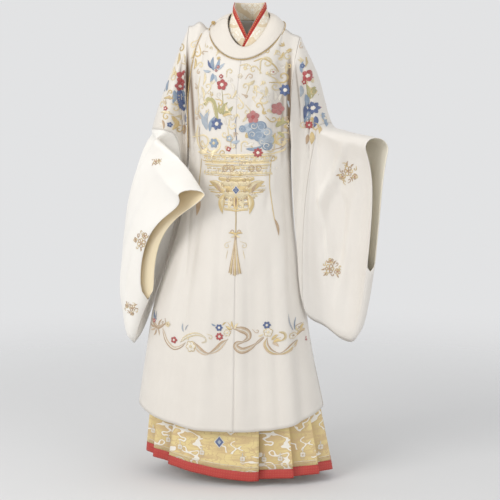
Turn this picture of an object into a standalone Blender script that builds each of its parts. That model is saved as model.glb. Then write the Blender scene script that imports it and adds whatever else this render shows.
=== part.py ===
# Round-collar robe with wide sleeves, pleated wrap skirt and crossed under-collar, hollow, as worn.
# Metres, +Z up. The front faces -Y and the wearer's left is +X. The origin is between the shoulders.

import bmesh
import bpy
import math
import numpy as np

for old in list(bpy.data.objects):
    bpy.data.objects.remove(old, do_unlink=True)

# driving dimensions
CLOTH = 0.002             # wall of the robe
SKIRT_CLOTH = 0.002       # wall of the skirt
SEAM_GAP = 0.0003         # space between two pieces at a seam
UNDERARM_Z = -0.330       # where the side seam meets the sleeve
HEM_Z = -1.158            # hem of the robe at centre front
HEM_RISE = 0.050          # how far the hem climbs towards the side slits
SLIT_TOP_Z = -0.600       # top of the side slits
SLIT_HALF = 0.020         # share of each panel's width that the slit opens at the hem
CENTRE_SEAM_X = 0.011     # centre seam below the chest
CHEST_Z = -0.200          # below this the body is a plain section
NECK_SHARE = 0.55         # share of a panel's top edge that lies on the collar ring
OVERLAP_LIFT = 0.0026     # the overlap stands this far out, and the inner front this far in
ARMHOLE_BULGE = 0.060     # how far the armhole's edges stand apart from the side line
ARMHOLE_MITRE = 1.15      # the wall's slant at the armhole, over its thickness
INNER_FRONT_START = 0.30  # share of the panel's width where the inner front starts, under the overlap

ROWS_ABOVE = 10           # rows of a panel from the top edge to the underarm
ROWS_BELOW = 11           # rows from the underarm to the hem
PANEL_COLUMNS = 10

# the body's sections: extents to the wearer's right (-X), left (+X), front and back at each height
SECTIONS = [
    # z, right, left, front, back
    (-0.200, 0.150, 0.158, 0.112, 0.105),
    (-0.330, 0.151, 0.153, 0.116, 0.108),
    (-0.460, 0.160, 0.157, 0.120, 0.112),
    (-0.580, 0.188, 0.166, 0.128, 0.122),
    (-0.670, 0.218, 0.178, 0.138, 0.130),
    (-0.800, 0.262, 0.198, 0.150, 0.140),
    (-0.950, 0.288, 0.222, 0.160, 0.150),
    (-1.110, 0.313, 0.256, 0.172, 0.162),
    (-1.170, 0.320, 0.264, 0.176, 0.166),
]

# the collar ring (outer edge of the band) and the neck opening (its inner edge)
RING = {"x": 0.022, "half_x": 0.110, "half_front": 0.096, "half_back": 0.082,
        "z": 0.022, "drop": 0.058, "bend": 0.035}
NECK = {"x": 0.027, "half_x": 0.062, "half_front": 0.070, "half_back": 0.056,
        "z": 0.049, "drop": 0.052, "bend": 0.034}

SHOULDER = {1: (0.180, 0.004, -0.004), -1: (-0.153, 0.000, 0.031)}   # top of each armhole
SHOULDER_PUFF = {1: -0.003, -1: 0.016}    # how far the cloth stands up between collar and armhole

# soft folds of the body: where each starts and ends, its half width and its depth (below zero is a trough)
BODY_FOLDS = [
    # face, x_top, z_top, x_low, z_low, width, depth
    ("front", 0.060, -0.62, 0.090, -1.16, 0.026, -0.008),
    ("front", 0.128, -0.50, 0.178, -1.16, 0.024, 0.009),
    ("front", -0.050, -0.66, -0.095, -1.16, 0.030, 0.008),
    ("front", -0.120, -0.52, -0.180, -1.16, 0.026, -0.009),
    ("front", -0.140, -0.06, -0.122, -0.30, 0.016, -0.008),
    ("front", 0.138, -0.06, 0.122, -0.34, 0.016, -0.009),
    ("front", 0.075, -0.14, 0.100, -0.44, 0.018, 0.005),
    ("back", 0.020, -0.40, 0.040, -1.16, 0.032, -0.010),
    ("back", 0.090, -0.46, 0.130, -1.16, 0.028, 0.010),
    ("back", -0.070, -0.44, -0.110, -1.16, 0.028, 0.010),
    ("back", -0.110, -0.30, -0.185, -1.16, 0.026, -0.009),
    ("back", 0.120, -0.08, 0.105, -0.36, 0.018, -0.007),
    ("back", -0.130, -0.08, -0.112, -0.36, 0.018, -0.007),
]

# Each sleeve is a run of hanging rings. A ring's middle line is a curve with four control points,
# from its top on the arm to its lowest point; the cloth wraps the arm at the top and hangs below it
# in two layers. "facing" is the way the front layer looks, in degrees from -Y towards -X.
RING_COLUMNS = ("run", "top", "upper", "lower", "low", "arm", "gap", "facing")
SLEEVE_RINGS = {
    1: [
        (0.00, (0.180, 0.004, -0.004), (0.170, 0.0, -0.10), (0.160, 0.0, -0.22), (0.154, 0.0, -0.330),
         0.050, 0.040, 0),
        (0.50, (0.226, 0.022, -0.112), (0.196, 0.010, -0.20), (0.166, -0.010, -0.42),
         (0.177, -0.026, -0.620), 0.048, 0.009, 8),
        (1.00, (0.262, 0.040, -0.257), (0.205, 0.016, -0.29), (0.188, -0.018, -0.60),
         (0.204, -0.040, -0.815), 0.046, 0.010, 20),
        (1.30, (0.303, 0.012, -0.276), (0.262, 0.024, -0.36), (0.258, 0.022, -0.68),
         (0.262, 0.004, -0.868), 0.044, 0.013, 32),
        (1.55, (0.340, -0.020, -0.284), (0.318, 0.022, -0.42), (0.322, 0.024, -0.72),
         (0.315, 0.006, -0.906), 0.042, 0.014, 40),
        (1.75, (0.372, -0.046, -0.289), (0.372, 0.000, -0.42), (0.368, 0.006, -0.72),
         (0.352, -0.008, -0.900), 0.041, 0.014, 46),
        (1.90, (0.396, -0.066, -0.293), (0.408, -0.034, -0.42), (0.394, -0.022, -0.66),
         (0.376, -0.024, -0.830), 0.040, 0.014, 50),
        (2.00, (0.412, -0.080, -0.296), (0.426, -0.060, -0.40), (0.410, -0.052, -0.56),
         (0.398, -0.048, -0.690), 0.040, 0.015, 52),
    ],
    -1: [
        (0.00, (-0.153, 0.000, 0.031), (-0.162, 0.0, -0.09), (-0.158, 0.0, -0.22), (-0.154, 0.0, -0.330),
         0.050, 0.040, 0),
        (0.50, (-0.220, 0.004, -0.125), (-0.128, 0.000, -0.20), (-0.172, 0.012, -0.40),
         (-0.191, 0.030, -0.560), 0.050, 0.010, -6),
        (1.00, (-0.272, 0.006, -0.276), (-0.085, -0.024, -0.270), (-0.198, 0.014, -0.50),
         (-0.256, 0.042, -0.745), 0.050, 0.011, -16),
        (1.12, (-0.258, -0.024, -0.296), (-0.290, -0.030, -0.33), (-0.330, 0.000, -0.60),
         (-0.280, 0.018, -0.826), 0.050, 0.012, -26),
        (1.28, (-0.216, -0.062, -0.330), (-0.368, -0.020, -0.35), (-0.368, 0.006, -0.66),
         (-0.302, -0.004, -0.890), 0.048, 0.014, -42),
        (1.52, (-0.172, -0.116, -0.366), (-0.318, -0.062, -0.40), (-0.390, -0.028, -0.70),
         (-0.322, -0.030, -0.926), 0.046, 0.016, -70),
        (1.74, (-0.142, -0.158, -0.398), (-0.206, -0.146, -0.47), (-0.376, -0.068, -0.66),
         (-0.316, -0.062, -0.912), 0.044, 0.018, -94),
        (1.90, (-0.120, -0.190, -0.425), (-0.132, -0.180, -0.52), (-0.336, -0.108, -0.55),
         (-0.292, -0.080, -0.850), 0.042, 0.020, -108),
        (2.00, (-0.104, -0.210, -0.444), (-0.088, -0.204, -0.530), (-0.276, -0.130, -0.49),
         (-0.264, -0.092, -0.785), 0.040, 0.021, -116),
    ],
}
UPPER_RINGS = 7
LOWER_RINGS = 12
ARMHOLE_BLEND = 0.40                            # run over which a sleeve leaves the armhole's form
LAYER_GAP = 0.0005                              # between the two layers of the left sleeve
ARMHOLE_GAP = {"top": 0.00036, "underarm": 0.00144}
RING_STEP = 0.0035                              # each ring of an upper sleeve lies this far beyond the last
ELBOW_GAP = 0.0006
RUN_LENGTH = 0.3                                # metres of sleeve in one run, near enough for folds
HANG_FADE = 0.075                               # drop below the arm over which the layers close up

# soft folds of the sleeves: run and share of the drop at both ends, half width in metres, depth
SLEEVE_FOLDS = {
    1: [
        # layer, run_top, drop_top, run_low, drop_low, width, depth
        ("front", 1.02, 0.10, 1.22, 0.80, 0.022, -0.007),
        ("front", 1.60, 0.12, 1.24, 0.60, 0.026, -0.009),
        ("front", 1.80, 0.10, 1.50, 0.85, 0.024, 0.007),
        ("front", 0.15, 0.10, 0.55, 0.34, 0.018, -0.006),
        ("back", 1.05, 0.10, 1.35, 0.85, 0.026, -0.008),
        ("back", 1.75, 0.12, 1.60, 0.85, 0.024, 0.008),
        ("back", 0.20, 0.15, 0.60, 0.60, 0.022, -0.007),
    ],
    -1: [
        ("front", 1.10, 0.10, 1.30, 0.70, 0.022, -0.008),
        ("front", 1.55, 0.16, 1.42, 0.80, 0.024, 0.007),
        ("front", 0.15, 0.10, 0.55, 0.36, 0.018, -0.006),
        ("back", 1.20, 0.14, 1.34, 0.80, 0.026, -0.008),
        ("back", 1.70, 0.20, 1.62, 0.80, 0.022, 0.007),
        ("back", 0.20, 0.15, 0.60, 0.60, 0.022, -0.007),
    ],
}

# the skirt's sections and its cut
SKIRT_SECTIONS = [
    # z, right, left, front, back
    (-0.330, 0.124, 0.124, 0.090, 0.090),
    (-0.460, 0.132, 0.132, 0.098, 0.096),
    (-0.580, 0.150, 0.142, 0.108, 0.104),
    (-0.800, 0.212, 0.172, 0.126, 0.122),
    (-1.000, 0.262, 0.222, 0.138, 0.1418),
    (-1.130, 0.282, 0.253, 0.146, 0.146),
    (-1.315, 0.301, 0.293, 0.150, 0.152),
]
WAIST_Z = -0.335          # top of the pleated cloth
WAISTBAND = {"height": 0.070, "cloth": 0.003, "lean": 0.10, "out": 0.001, "sides": 32}
SKIRT_LOW_Z = -1.312      # hem at its lowest, in front
SKIRT_RISE_RIGHT = 0.050  # the hem climbs this far towards the wearer's right
SKIRT_RISE_LEFT = 0.014
RED_BAND = 0.028
PLEATS_A_SIDE = 6
PLEAT_DEPTH = {"waist": 0.005, "hem": 0.024}
PLEAT_TUCK = 0.26         # share of a pleat that runs back under its neighbour
PANEL_TUCK = 0.10         # share of the first and last pleat that lies under a flat panel
FLAT_FRONT = {"waist": (-0.085, 0.080), "hem": (-0.205, 0.082)}    # x of the flat panel's edges
FLAT_BACK = {"waist": (-0.085, 0.085), "hem": (-0.150, 0.140)}
FLAT_COLUMNS = 6
SKIRT_ROWS = 8

COLLAR_CLOTH = 0.0022
COLLAR_BAND = {"start": -92.0, "turn": 359.2, "columns": 44, "rows": 3, "crown": 0.006}
PIPING = {"radius": 0.0016, "off_collar": 0.0022, "above": 0.0006, "off_overlap": 0.0010,
          "start": -90.0, "turn": 356.0, "points": 48, "sides": 6}
UNDER_COLLAR = {"x": 0.030, "top_half_x": 0.046, "top_half_y": 0.044, "top_z": 0.098,
                "low_half_x": 0.0590, "low_half_y": 0.053, "low_z": 0.046,
                "turn": 206.0, "falls_from": 0.42, "top_fall": 0.150, "low_fall": 0.118,
                "tuck": 0.0055, "cloth": 0.0018, "trim": 0.013, "trim_cloth": 0.0012, "columns": 20}
BUTTON = {"degrees": -86.0, "share": 0.26, "radius": 0.0065, "above_seam": 0.0040, "segments": 12}

COLOURS = {
    "satin": ((0.82, 0.77, 0.70), 0.38),
    "gold": ((0.62, 0.42, 0.14), 0.40),
    "brocade": ((0.76, 0.62, 0.34), 0.50),
    "hem_red": ((0.56, 0.09, 0.07), 0.45),
    "collar_brocade": ((0.84, 0.78, 0.66), 0.50),
    "trim_red": ((0.58, 0.10, 0.06), 0.45),
}


def material(name):
    found = bpy.data.materials.get(name)
    if found:
        return found
    colour, roughness = COLOURS[name]
    made = bpy.data.materials.new(name)
    made.use_nodes = True
    shader = made.node_tree.nodes["Principled BSDF"]
    shader.inputs["Base Color"].default_value = (*colour, 1.0)
    shader.inputs["Roughness"].default_value = roughness
    shader.inputs["Metallic"].default_value = 0.0
    return made


def smooth_table(rows, value):
    """Read a table whose first column rises or falls, with a smooth curve through its rows."""
    table = np.array(rows, dtype=float)
    if table[0, 0] > table[-1, 0]:
        table = table[::-1]
    keys = table[:, 0]
    value = min(max(value, keys[0]), keys[-1])
    i = int(min(np.searchsorted(keys, value, side="right") - 1, len(keys) - 2))
    span = keys[i + 1] - keys[i]
    t = (value - keys[i]) / span
    before = table[i - 1] if i > 0 else table[i]
    after = table[i + 2] if i + 2 < len(keys) else table[i + 1]
    gap_before = max(keys[i + 1] - before[0], 1e-9)
    gap_after = max(after[0] - keys[i], 1e-9)
    slope_in = (table[i + 1] - before) / gap_before * span
    slope_out = (after - table[i]) / gap_after * span
    h00 = 2 * t**3 - 3 * t**2 + 1
    h10 = t**3 - 2 * t**2 + t
    h01 = -2 * t**3 + 3 * t**2
    h11 = t**3 - t**2
    return h00 * table[i] + h10 * slope_in + h01 * table[i + 1] + h11 * slope_out


def ease(t):
    t = min(max(t, 0.0), 1.0)
    return t * t * (3 - 2 * t)


def unit(vector):
    return vector / max(np.linalg.norm(vector), 1e-12)


def distance_to_line(p, a, b):
    """Distance from p to the stretch a-b in the plane, and how far along it p lies (0 to 1)."""
    a, b, p = np.array(a), np.array(b), np.array(p)
    along = float(np.dot(p - a, b - a) / np.dot(b - a, b - a))
    near = a + (b - a) * min(max(along, 0.0), 1.0)
    return float(np.linalg.norm(p - near)), along


def fold_height(folds, face, p):
    total = 0.0
    for name, *ends in folds:
        if name != face:
            continue
        x_top, z_top, x_low, z_low, width, depth = ends
        away, along = distance_to_line(p, (x_top, z_top), (x_low, z_low))
        total += depth * math.exp(-(away / width) ** 2) * ease(along * 4 + 0.15)
    return total


# Body

def section_point(x_share, z, back):
    """Point of the body's section; x_share runs from -1 (right side) over 0 to 1 (left side)."""
    _, right, left, front, rear = smooth_table(SECTIONS, z)
    centre, half = (left - right) / 2, (left + right) / 2
    angle = x_share * math.pi / 2
    depth = rear if back else -front
    return np.array([centre + half * math.sin(angle), depth * abs(math.cos(angle)), z])


def ring_point(ring, degrees):
    """Point of the collar ring or neck opening; 0 is centre front, 90 the wearer's left side."""
    s, c = math.sin(math.radians(degrees)), math.cos(math.radians(degrees))
    half_y = ring["half_front"] if c > 0 else ring["half_back"]
    return np.array([ring["x"] + ring["half_x"] * s, -half_y * c,
                     ring["z"] - ring["drop"] * c - ring["bend"] * c * c])


def top_edge(side, back, u):
    """Top edge of a panel: the collar ring first, then the shoulder out to the armhole."""
    if u <= NECK_SHARE:
        degrees = 90 * u / NECK_SHARE
        return ring_point(RING, side * (180 - degrees if back else degrees))
    t = (u - NECK_SHARE) / (1 - NECK_SHARE)
    start, end = ring_point(RING, side * 90), np.array(SHOULDER[side])
    point = start + (end - start) * t
    point[2] += SHOULDER_PUFF[side] * math.sin(math.pi * t) ** 3
    return point


def seam_share(z):
    """Section share at which the centre seam runs."""
    _, right, left, *_ = smooth_table(SECTIONS, z)
    return math.asin((CENTRE_SEAM_X - (left - right) / 2) / ((left + right) / 2)) / (math.pi / 2)


def hem_height(x_share):
    return HEM_Z + HEM_RISE * abs(math.sin(x_share * math.pi / 2)) ** 3


def body_point(side, back, u, f):
    """Outer point of a body panel. u: 0 centre seam, 1 side. f: 1 top edge, 0 underarm, -1 hem."""
    if f < 0:
        hem = hem_height(side * u)
        z = UNDERARM_Z + (UNDERARM_Z - hem) * f
        start = seam_share(z)
        return section_point(start + (side - start) * u, z, back)
    top = top_edge(side, back, u)
    z = UNDERARM_Z + (top[2] - UNDERARM_Z) * f
    base_z = min(z, CHEST_Z)
    start = seam_share(base_z)
    base = section_point(start + (side - start) * u, base_z, back)
    if z > CHEST_Z:
        w = min((z - CHEST_Z) / max(top[2] - CHEST_Z, 1e-6), 1.0)
        roundness = 0.5 + 0.35 * (1 - ease(u / NECK_SHARE))
        x = base[0] + (top[0] - base[0]) * w ** 1.3
        y = top[1] + (base[1] - top[1]) * (1 - w ** 2) ** roundness
        base = np.array([x, y, z])
    bulge = ARMHOLE_BULGE * math.sin(math.pi * f) ** 0.7 if 0 < f < 1 else 0.0
    base[1] += (1 if back else -1) * bulge * u ** 4
    return base


def panel_levels():
    """Rows of a panel: from 1 at its top edge over 0 at the underarm to -1 at the hem."""
    above = [1 - i / ROWS_ABOVE for i in range(ROWS_ABOVE)]
    below = [-i / ROWS_BELOW for i in range(ROWS_BELOW + 1)]
    return above + below


def normals_of(grid, outward, closed=False):
    """Unit normals of a grid of points; outward tells the side, as a function of a point."""
    rows, columns, _ = grid.shape
    down = np.gradient(grid, axis=0)
    if closed:
        wide = np.concatenate([grid[:, -1:], grid, grid[:, :1]], axis=1)
        across = (wide[:, 2:] - wide[:, :-2]) / 2
    else:
        across = np.gradient(grid, axis=1)
    normal = np.cross(down, across)
    length = np.linalg.norm(normal, axis=2, keepdims=True)
    normal = normal / np.maximum(length, 1e-12)
    middle = normal[rows // 2, columns // 2]
    if np.dot(middle, outward(grid[rows // 2, columns // 2])) < 0:
        normal = -normal
    return normal


def panel_grid(side, back, first, last, columns):
    """Outer points of a body panel, with one spare column beyond each edge for its normals."""
    levels = panel_levels()
    grid = np.zeros((len(levels), columns + 3, 3))
    for r, f in enumerate(levels):
        end = 1.0 if last is None else last(f)
        if f < 0:
            z = UNDERARM_Z + (UNDERARM_Z - HEM_Z) * f
            end -= SLIT_HALF * ease((SLIT_TOP_Z - z) / (SLIT_TOP_Z - HEM_Z))
        for c in range(-1, columns + 2):
            u = first + (end - first) * c / columns
            if u <= 1.0:
                grid[r, c + 1] = body_point(side, back, u, f)
            elif f <= 0:
                grid[r, c + 1] = body_point(side, not back, 2.0 - u, f)
            else:
                grid[r, c + 1] = 2 * grid[r, c] - grid[r, c - 1]
    return grid, levels


def fold_panel(grid, normal, back):
    face = "back" if back else "front"
    last = grid.shape[1] - 2
    for r in range(grid.shape[0]):
        for c in range(grid.shape[1]):
            x, _, z = grid[r, c]
            edge = min(1.0, max(last - c, 0) / 2.0)
            grid[r, c] += normal[r, c] * fold_height(BODY_FOLDS, face, (x, z)) * edge
    return grid


def pull_in(grid, axis, index, amount):
    """Move one edge of a grid into the cloth by amount, away from its seam."""
    if axis == 0:
        neighbour = grid[index + 1] if index == 0 else grid[index - 1]
        edge = grid[index]
    else:
        neighbour = grid[:, index + 1] if index == 0 else grid[:, index - 1]
        edge = grid[:, index]
    step = neighbour - edge
    length = np.linalg.norm(step, axis=1, keepdims=True)
    edge += step / np.maximum(length, 1e-9) * amount


def wall(name, outer, inner, finish, closed=False):
    """A closed wall between an outer and an inner grid of points, as one object."""
    rows, columns, _ = outer.shape
    points = np.concatenate([outer.reshape(-1, 3), inner.reshape(-1, 3)])
    offset = rows * columns
    around = columns if closed else columns - 1
    faces = []
    for r in range(rows - 1):
        for c in range(around):
            a, b = r * columns + c, r * columns + (c + 1) % columns
            d, e = a + columns, b + columns
            faces.append((a, d, e, b))
            faces.append((offset + a, offset + b, offset + e, offset + d))
    low = (rows - 1) * columns
    for c in range(around):
        n = (c + 1) % columns
        faces.append((c, n, offset + n))
        faces.append((c, offset + n, offset + c))
        faces.append((low + n, low + c, offset + low + n))
        faces.append((low + c, offset + low + c, offset + low + n))
    if not closed:
        for r in range(rows - 1):
            a, b = r * columns, (r + 1) * columns
            faces.append((b, a, offset + a, offset + b))
            a, b = a + columns - 1, b + columns - 1
            faces.append((a, b, offset + b, offset + a))
    mesh = bpy.data.meshes.new(name)
    mesh.from_pydata([tuple(p) for p in points], [], faces)
    mesh.validate()
    made = bpy.data.objects.new(name, mesh)
    bpy.context.collection.objects.link(made)
    turn_outward(made)
    mesh.shade_smooth()
    mesh.materials.append(material(finish))
    return made


def turn_outward(made):
    """Flip a closed mesh if its volume comes out negative."""
    shape = bmesh.new()
    shape.from_mesh(made.data)
    if shape.calc_volume(signed=True) < 0:
        bmesh.ops.reverse_faces(shape, faces=shape.faces)
    shape.to_mesh(made.data)
    shape.free()


def outward_from_axis(p):
    return np.array([p[0], p[1], 0.0])


def armhole_inner(outer_edge, normal_edge):
    """Inner edge of an armhole, mitred between the body's wall and the sleeve's."""
    middle = outer_edge.mean(axis=0)
    result = outer_edge.copy()
    for i, p in enumerate(outer_edge):
        radial = unit(np.array([0.0, p[1], p[2] - middle[2]]))
        mitre = unit(normal_edge[i] + radial)
        result[i] = p - mitre * CLOTH * ARMHOLE_MITRE
    return result


def lift_panel(grid, normal, levels, first, last, lift):
    """Move an overlapping front out or in, but leave its shoulder seam where it is."""
    ridge = grid[0, :, 1].copy()
    for r, f in enumerate(levels):
        end = last(f) if last else 1.0
        for c in range(grid.shape[1]):
            u = first + (end - first) * (c - 1) / (grid.shape[1] - 3)
            grid[r, c] += normal[r, c] * lift(u, f)
    shoulder = np.abs(grid[0, :, 0] - RING["x"]) > RING["half_x"] * 0.9
    grid[0, shoulder, 1] = ridge[shoulder]


def body_panel(name, side, back, first=0.0, last=None, columns=PANEL_COLUMNS, lift=None):
    """One panel of the body as a closed wall; its outer and inner points come back for the sleeves."""
    grid, levels = panel_grid(side, back, first, last, columns)
    normal = normals_of(grid, outward_from_axis)
    grid = fold_panel(grid, normal, back)
    if lift:
        lift_panel(grid, normal, levels, first, last, lift)
    normal = normals_of(grid, outward_from_axis)[:, 1:-1]
    grid = grid[:, 1:-1].copy()
    for c in range(grid.shape[1]):
        if abs(grid[0, c, 0] - RING["x"]) > RING["half_x"] * 0.97:
            normal[0, c] = unit(normal[0, c] * (1, 0, 1))
    pull_in(grid, 1, 0, SEAM_GAP / 2)
    pull_in(grid, 1, -1, SEAM_GAP / 2)
    pull_in(grid, 0, 0, SEAM_GAP / 2)
    inner = grid - normal * CLOTH
    if last is None:
        rim = ROWS_ABOVE + 1
        inner[:rim, -1] = armhole_inner(grid[:rim, -1], normal[:rim, -1])
    wall(name, grid, inner, "satin")
    return grid, inner


def overlap_end(f):
    """Share of the panel's width at which the overlap's slanting edge runs."""
    if f <= 0:
        return 0.860 + 0.10 * ease((-f - 0.45) / 0.3)
    return NECK_SHARE + 0.02 + (0.840 - NECK_SHARE) * (1 - f) ** 0.45


def overlap_lift(u, f):
    """How far the overlap stands out from the body's own surface."""
    return OVERLAP_LIFT * ease(u / 0.22) * ease((1 - f) / 0.15)


def inner_front_lift(u, f):
    """How far the inner front lies in under the overlap; it comes up to the surface beyond the edge."""
    under = 1 - ease((u - overlap_end(f)) / 0.12)
    return -OVERLAP_LIFT * (1 + (1 - ease((1 - f) / 0.15))) * under


def make_body():
    """The body's panels. The rims of both armholes and the overlap's points come back."""
    rims = {}
    for side, word in ((1, "left"), (-1, "right")):
        back, back_inner = body_panel("back_" + word, side, True)
        if side == 1:
            front, front_inner = body_panel("front_left", side, False)
        else:
            front, front_inner = body_panel("front_right", side, False, first=INNER_FRONT_START,
                                            columns=7, lift=inner_front_lift)
            overlap, _ = body_panel("front_overlap", side, False, last=overlap_end, lift=overlap_lift)
        rim = ROWS_ABOVE + 1
        rims[side] = ((front[:rim, -1], front_inner[:rim, -1]), (back[:rim, -1], back_inner[:rim, -1]))
    return rims, overlap


# Sleeves

def bezier(points, t):
    a, b, c, d = points
    s = 1 - t
    return a * s**3 + b * 3 * s * s * t + c * 3 * s * t * t + d * t**3


def ring_row(side, run):
    rows = []
    for r in SLEEVE_RINGS[side]:
        named = dict(zip(RING_COLUMNS, r))
        rows.append([named["run"], *named["top"], *named["upper"], *named["lower"], *named["low"],
                     named["arm"], named["gap"], named["facing"]])
    return smooth_table(rows, run)


def drop_levels(count):
    """Shares of the drop, closer together where the cloth wraps the arm and at the lowest fold."""
    return [0.5 * (t ** 1.6 + t ** 1.15) for t in (i / count for i in range(count + 1))]


def sleeve_ring(side, run, count=ROWS_ABOVE):
    """Outer points of one ring: up the front layer from the lowest point, then down the back layer."""
    row = ring_row(side, run)
    controls = [row[1:4], row[4:7], row[7:10], row[10:13]]
    arm, gap, facing = row[13], row[14], math.radians(row[15])
    across = np.array([-math.sin(facing), -math.cos(facing), 0.0])
    length = sum(np.linalg.norm(controls[i + 1] - controls[i]) for i in range(3))
    front, back = [], []
    for share in drop_levels(count):
        down = share * length
        middle = bezier(controls, share)
        if down < arm:
            half = math.sqrt(max(arm**2 - (arm - down) ** 2, 0.0))
        else:
            half = gap + (arm - gap) * math.exp(-((down - arm) / HANG_FADE) ** 1.3)
        left_over = length - down
        if left_over < 2.2 * gap:
            half = min(half, gap * math.sqrt(max(1 - (1 - left_over / (2.2 * gap)) ** 2, 0.0)))
        for layer, sign, points in (("front", 1, front), ("back", -1, back)):
            fade = math.sin(math.pi * min(max(share, 0.0), 1.0)) ** 0.6
            relief = 0.0
            for name, run_top, drop_top, run_low, drop_low, width, depth in SLEEVE_FOLDS[side]:
                if name != layer:
                    continue
                away, along = distance_to_line((run * RUN_LENGTH, share * length),
                                               (run_top * RUN_LENGTH, drop_top * length),
                                               (run_low * RUN_LENGTH, drop_low * length))
                relief += depth * math.exp(-(away / width) ** 2) * ease(along * 4 + 0.15)
            reach = max(half + relief * fade, min(half, 0.004))
            points.append(middle + across * sign * reach)
    top, low = front[0], front[-1]
    return np.array([low] + front[-2:0:-1] + [top] + back[1:-1])


def sleeve_normals(rings):
    normal = normals_of(rings, lambda p: np.array([0.0, -1.0, 0.0]), closed=True)
    count = rings.shape[1]
    quarter = rings[:, count // 4]
    opposite = rings[:, count - count // 4]
    if np.mean(np.sum(normal[:, count // 4] * (quarter - opposite), axis=1)) < 0:
        normal = -normal
    return normal


def sleeve_inner(rings):
    """Inner points of a sleeve's wall; in its lowest fold they lie far enough up to keep the wall's thickness."""
    inner = rings - sleeve_normals(rings) * CLOTH
    for ring, low in zip(rings, inner):
        front, back = unit(ring[1] - ring[0]), unit(ring[-1] - ring[0])
        sine = math.sqrt(max((1 - float(np.dot(front, back))) / 2, 1e-4))
        reach = min(CLOTH / sine, 0.45 * np.linalg.norm(ring[1] - ring[0]))
        low[0] = ring[0] + unit(front + back) * reach
    return inner


def armhole_ring(side, rims):
    """The sleeve's first ring, one seam gap out from the body's edges, with its inner points."""
    (front, front_inner), (back, back_inner) = rims[side]
    outer = np.array([front[-1]] + [front[i] for i in range(len(front) - 2, 0, -1)]
                     + [front[0]] + [back[i] for i in range(1, len(back) - 1)])
    inner = np.array([front_inner[-1]] + [front_inner[i] for i in range(len(front) - 2, 0, -1)]
                     + [front_inner[0]] + [back_inner[i] for i in range(1, len(back) - 1)])
    outer[0][1] = inner[0][1] = 0.0
    half = len(outer) // 2
    outer[half][1] = (front[0][1] + back[0][1]) / 2
    inner[half][1] = (front_inner[0][1] + back_inner[0][1]) / 2
    return outer, inner


def rim_square(outer, inner, along_sleeve):
    """Unit vectors square to a rim's face, pointing along the sleeve."""
    round_rim = np.roll(outer, -1, axis=0) - np.roll(outer, 1, axis=0)
    square = np.cross(round_rim, inner - outer)
    square /= np.linalg.norm(square, axis=1, keepdims=True)
    return square if np.sum(square * along_sleeve) > 0 else -square


def finish_sleeve(name, outer, inner, in_layers):
    """A length of sleeve as one tube, or as front and back layers a gap apart along both its folds."""
    if not in_layers:
        wall(name, outer, inner, "satin", closed=True)
        return
    half = outer.shape[1] // 2
    for word, start, sign in (("front", 0, 1), ("back", half, -1)):
        columns = [(start + i) % (2 * half) for i in range(half + 1)]
        layer, layer_inner = outer[:, columns].copy(), inner[:, columns].copy()
        for edge, c in ((0, columns[0]), (-1, columns[-1])):
            across = outer[:, (c + 1) % (2 * half)] - outer[:, c - 1]
            if c == half:
                across = -across
            across *= sign * LAYER_GAP / 2 / np.linalg.norm(across, axis=1, keepdims=True)
            layer[:, edge] += across
            layer_inner[:, edge] += across
        wall(name + "_" + word, layer, layer_inner, "satin")


def make_sleeves(rims):
    for side, word in ((1, "left"), (-1, "right")):
        rim_outer, rim_inner = armhole_ring(side, rims)
        outward = np.tile((side, 0.0, 0.0), (len(rim_outer), 1))
        step = rim_square(rim_outer, rim_inner, outward) * ARMHOLE_GAP["top"]
        count = len(step)
        for i in range(count):
            near_underarm = abs(2 * i / count - 1) ** 6
            step[i] *= 1 + (ARMHOLE_GAP["underarm"] / ARMHOLE_GAP["top"] - 1) * near_underarm
        rings = []
        for i in range(UPPER_RINGS + 1):
            run = i / UPPER_RINGS
            ring = sleeve_ring(side, run)
            mix = ease(run / ARMHOLE_BLEND)
            ring = (rim_outer + step) * (1 - mix) + ring * mix
            if rings:
                ring[:, 0] = side * np.maximum(ring[:, 0] * side, rings[-1][:, 0] * side + RING_STEP)
            rings.append(ring)
        rings = np.array(rings)
        inner = sleeve_inner(rings)
        inner[0] = rim_inner + step
        elbow_inner = sleeve_inner(np.array([rings[-1], sleeve_ring(side, 1.02)]))[0]
        inner[-1] = elbow_inner
        finish_sleeve("sleeve_upper_" + word, rings, inner, side == 1)
        lower = []
        for i in range(LOWER_RINGS + 1):
            run = 1.0 + i / LOWER_RINGS
            lower.append(sleeve_ring(side, run))
        lower = np.array([rings[-1]] + lower[1:])
        inner = sleeve_inner(lower)
        inner[0] = elbow_inner
        shift = rim_square(lower[0], inner[0], lower[1] - lower[0]) * ELBOW_GAP
        lower[0] += shift
        inner[0] += shift
        finish_sleeve("sleeve_lower_" + word, lower, inner, side == 1)


# Skirt

def skirt_hem(x):
    if x < 0.06:
        return SKIRT_LOW_Z + SKIRT_RISE_RIGHT * (min((0.06 - x) / 0.36, 1.0)) ** 1.5
    return SKIRT_LOW_Z + SKIRT_RISE_LEFT * min((x - 0.06) / 0.22, 1.0)


def share_at_x(z, x):
    _, right, left, *_ = smooth_table(SKIRT_SECTIONS, z)
    return math.asin(((x - (left - right) / 2) / ((left + right) / 2))) / (math.pi / 2)


def skirt_angle(z, edge_x, back):
    """Angle round the skirt, 0 at centre front and 90 at the wearer's left, of a panel's edge."""
    share = share_at_x(z, edge_x)
    return 180 - 90 * share if back else 90 * share


def skirt_at(degrees, z, inset):
    """Point of the skirt at an angle round it, moved in by inset."""
    _, right, left, front, rear = smooth_table(SKIRT_SECTIONS, z)
    s, c = math.sin(math.radians(degrees)), math.cos(math.radians(degrees))
    centre, half = (left - right) / 2, (left + right) / 2
    depth = front if c > 0 else rear
    point = np.array([centre + half * s, -depth * c, z])
    inward = unit(np.array([-s / half, c / depth, 0.0]))
    return point + inward * inset


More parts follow.
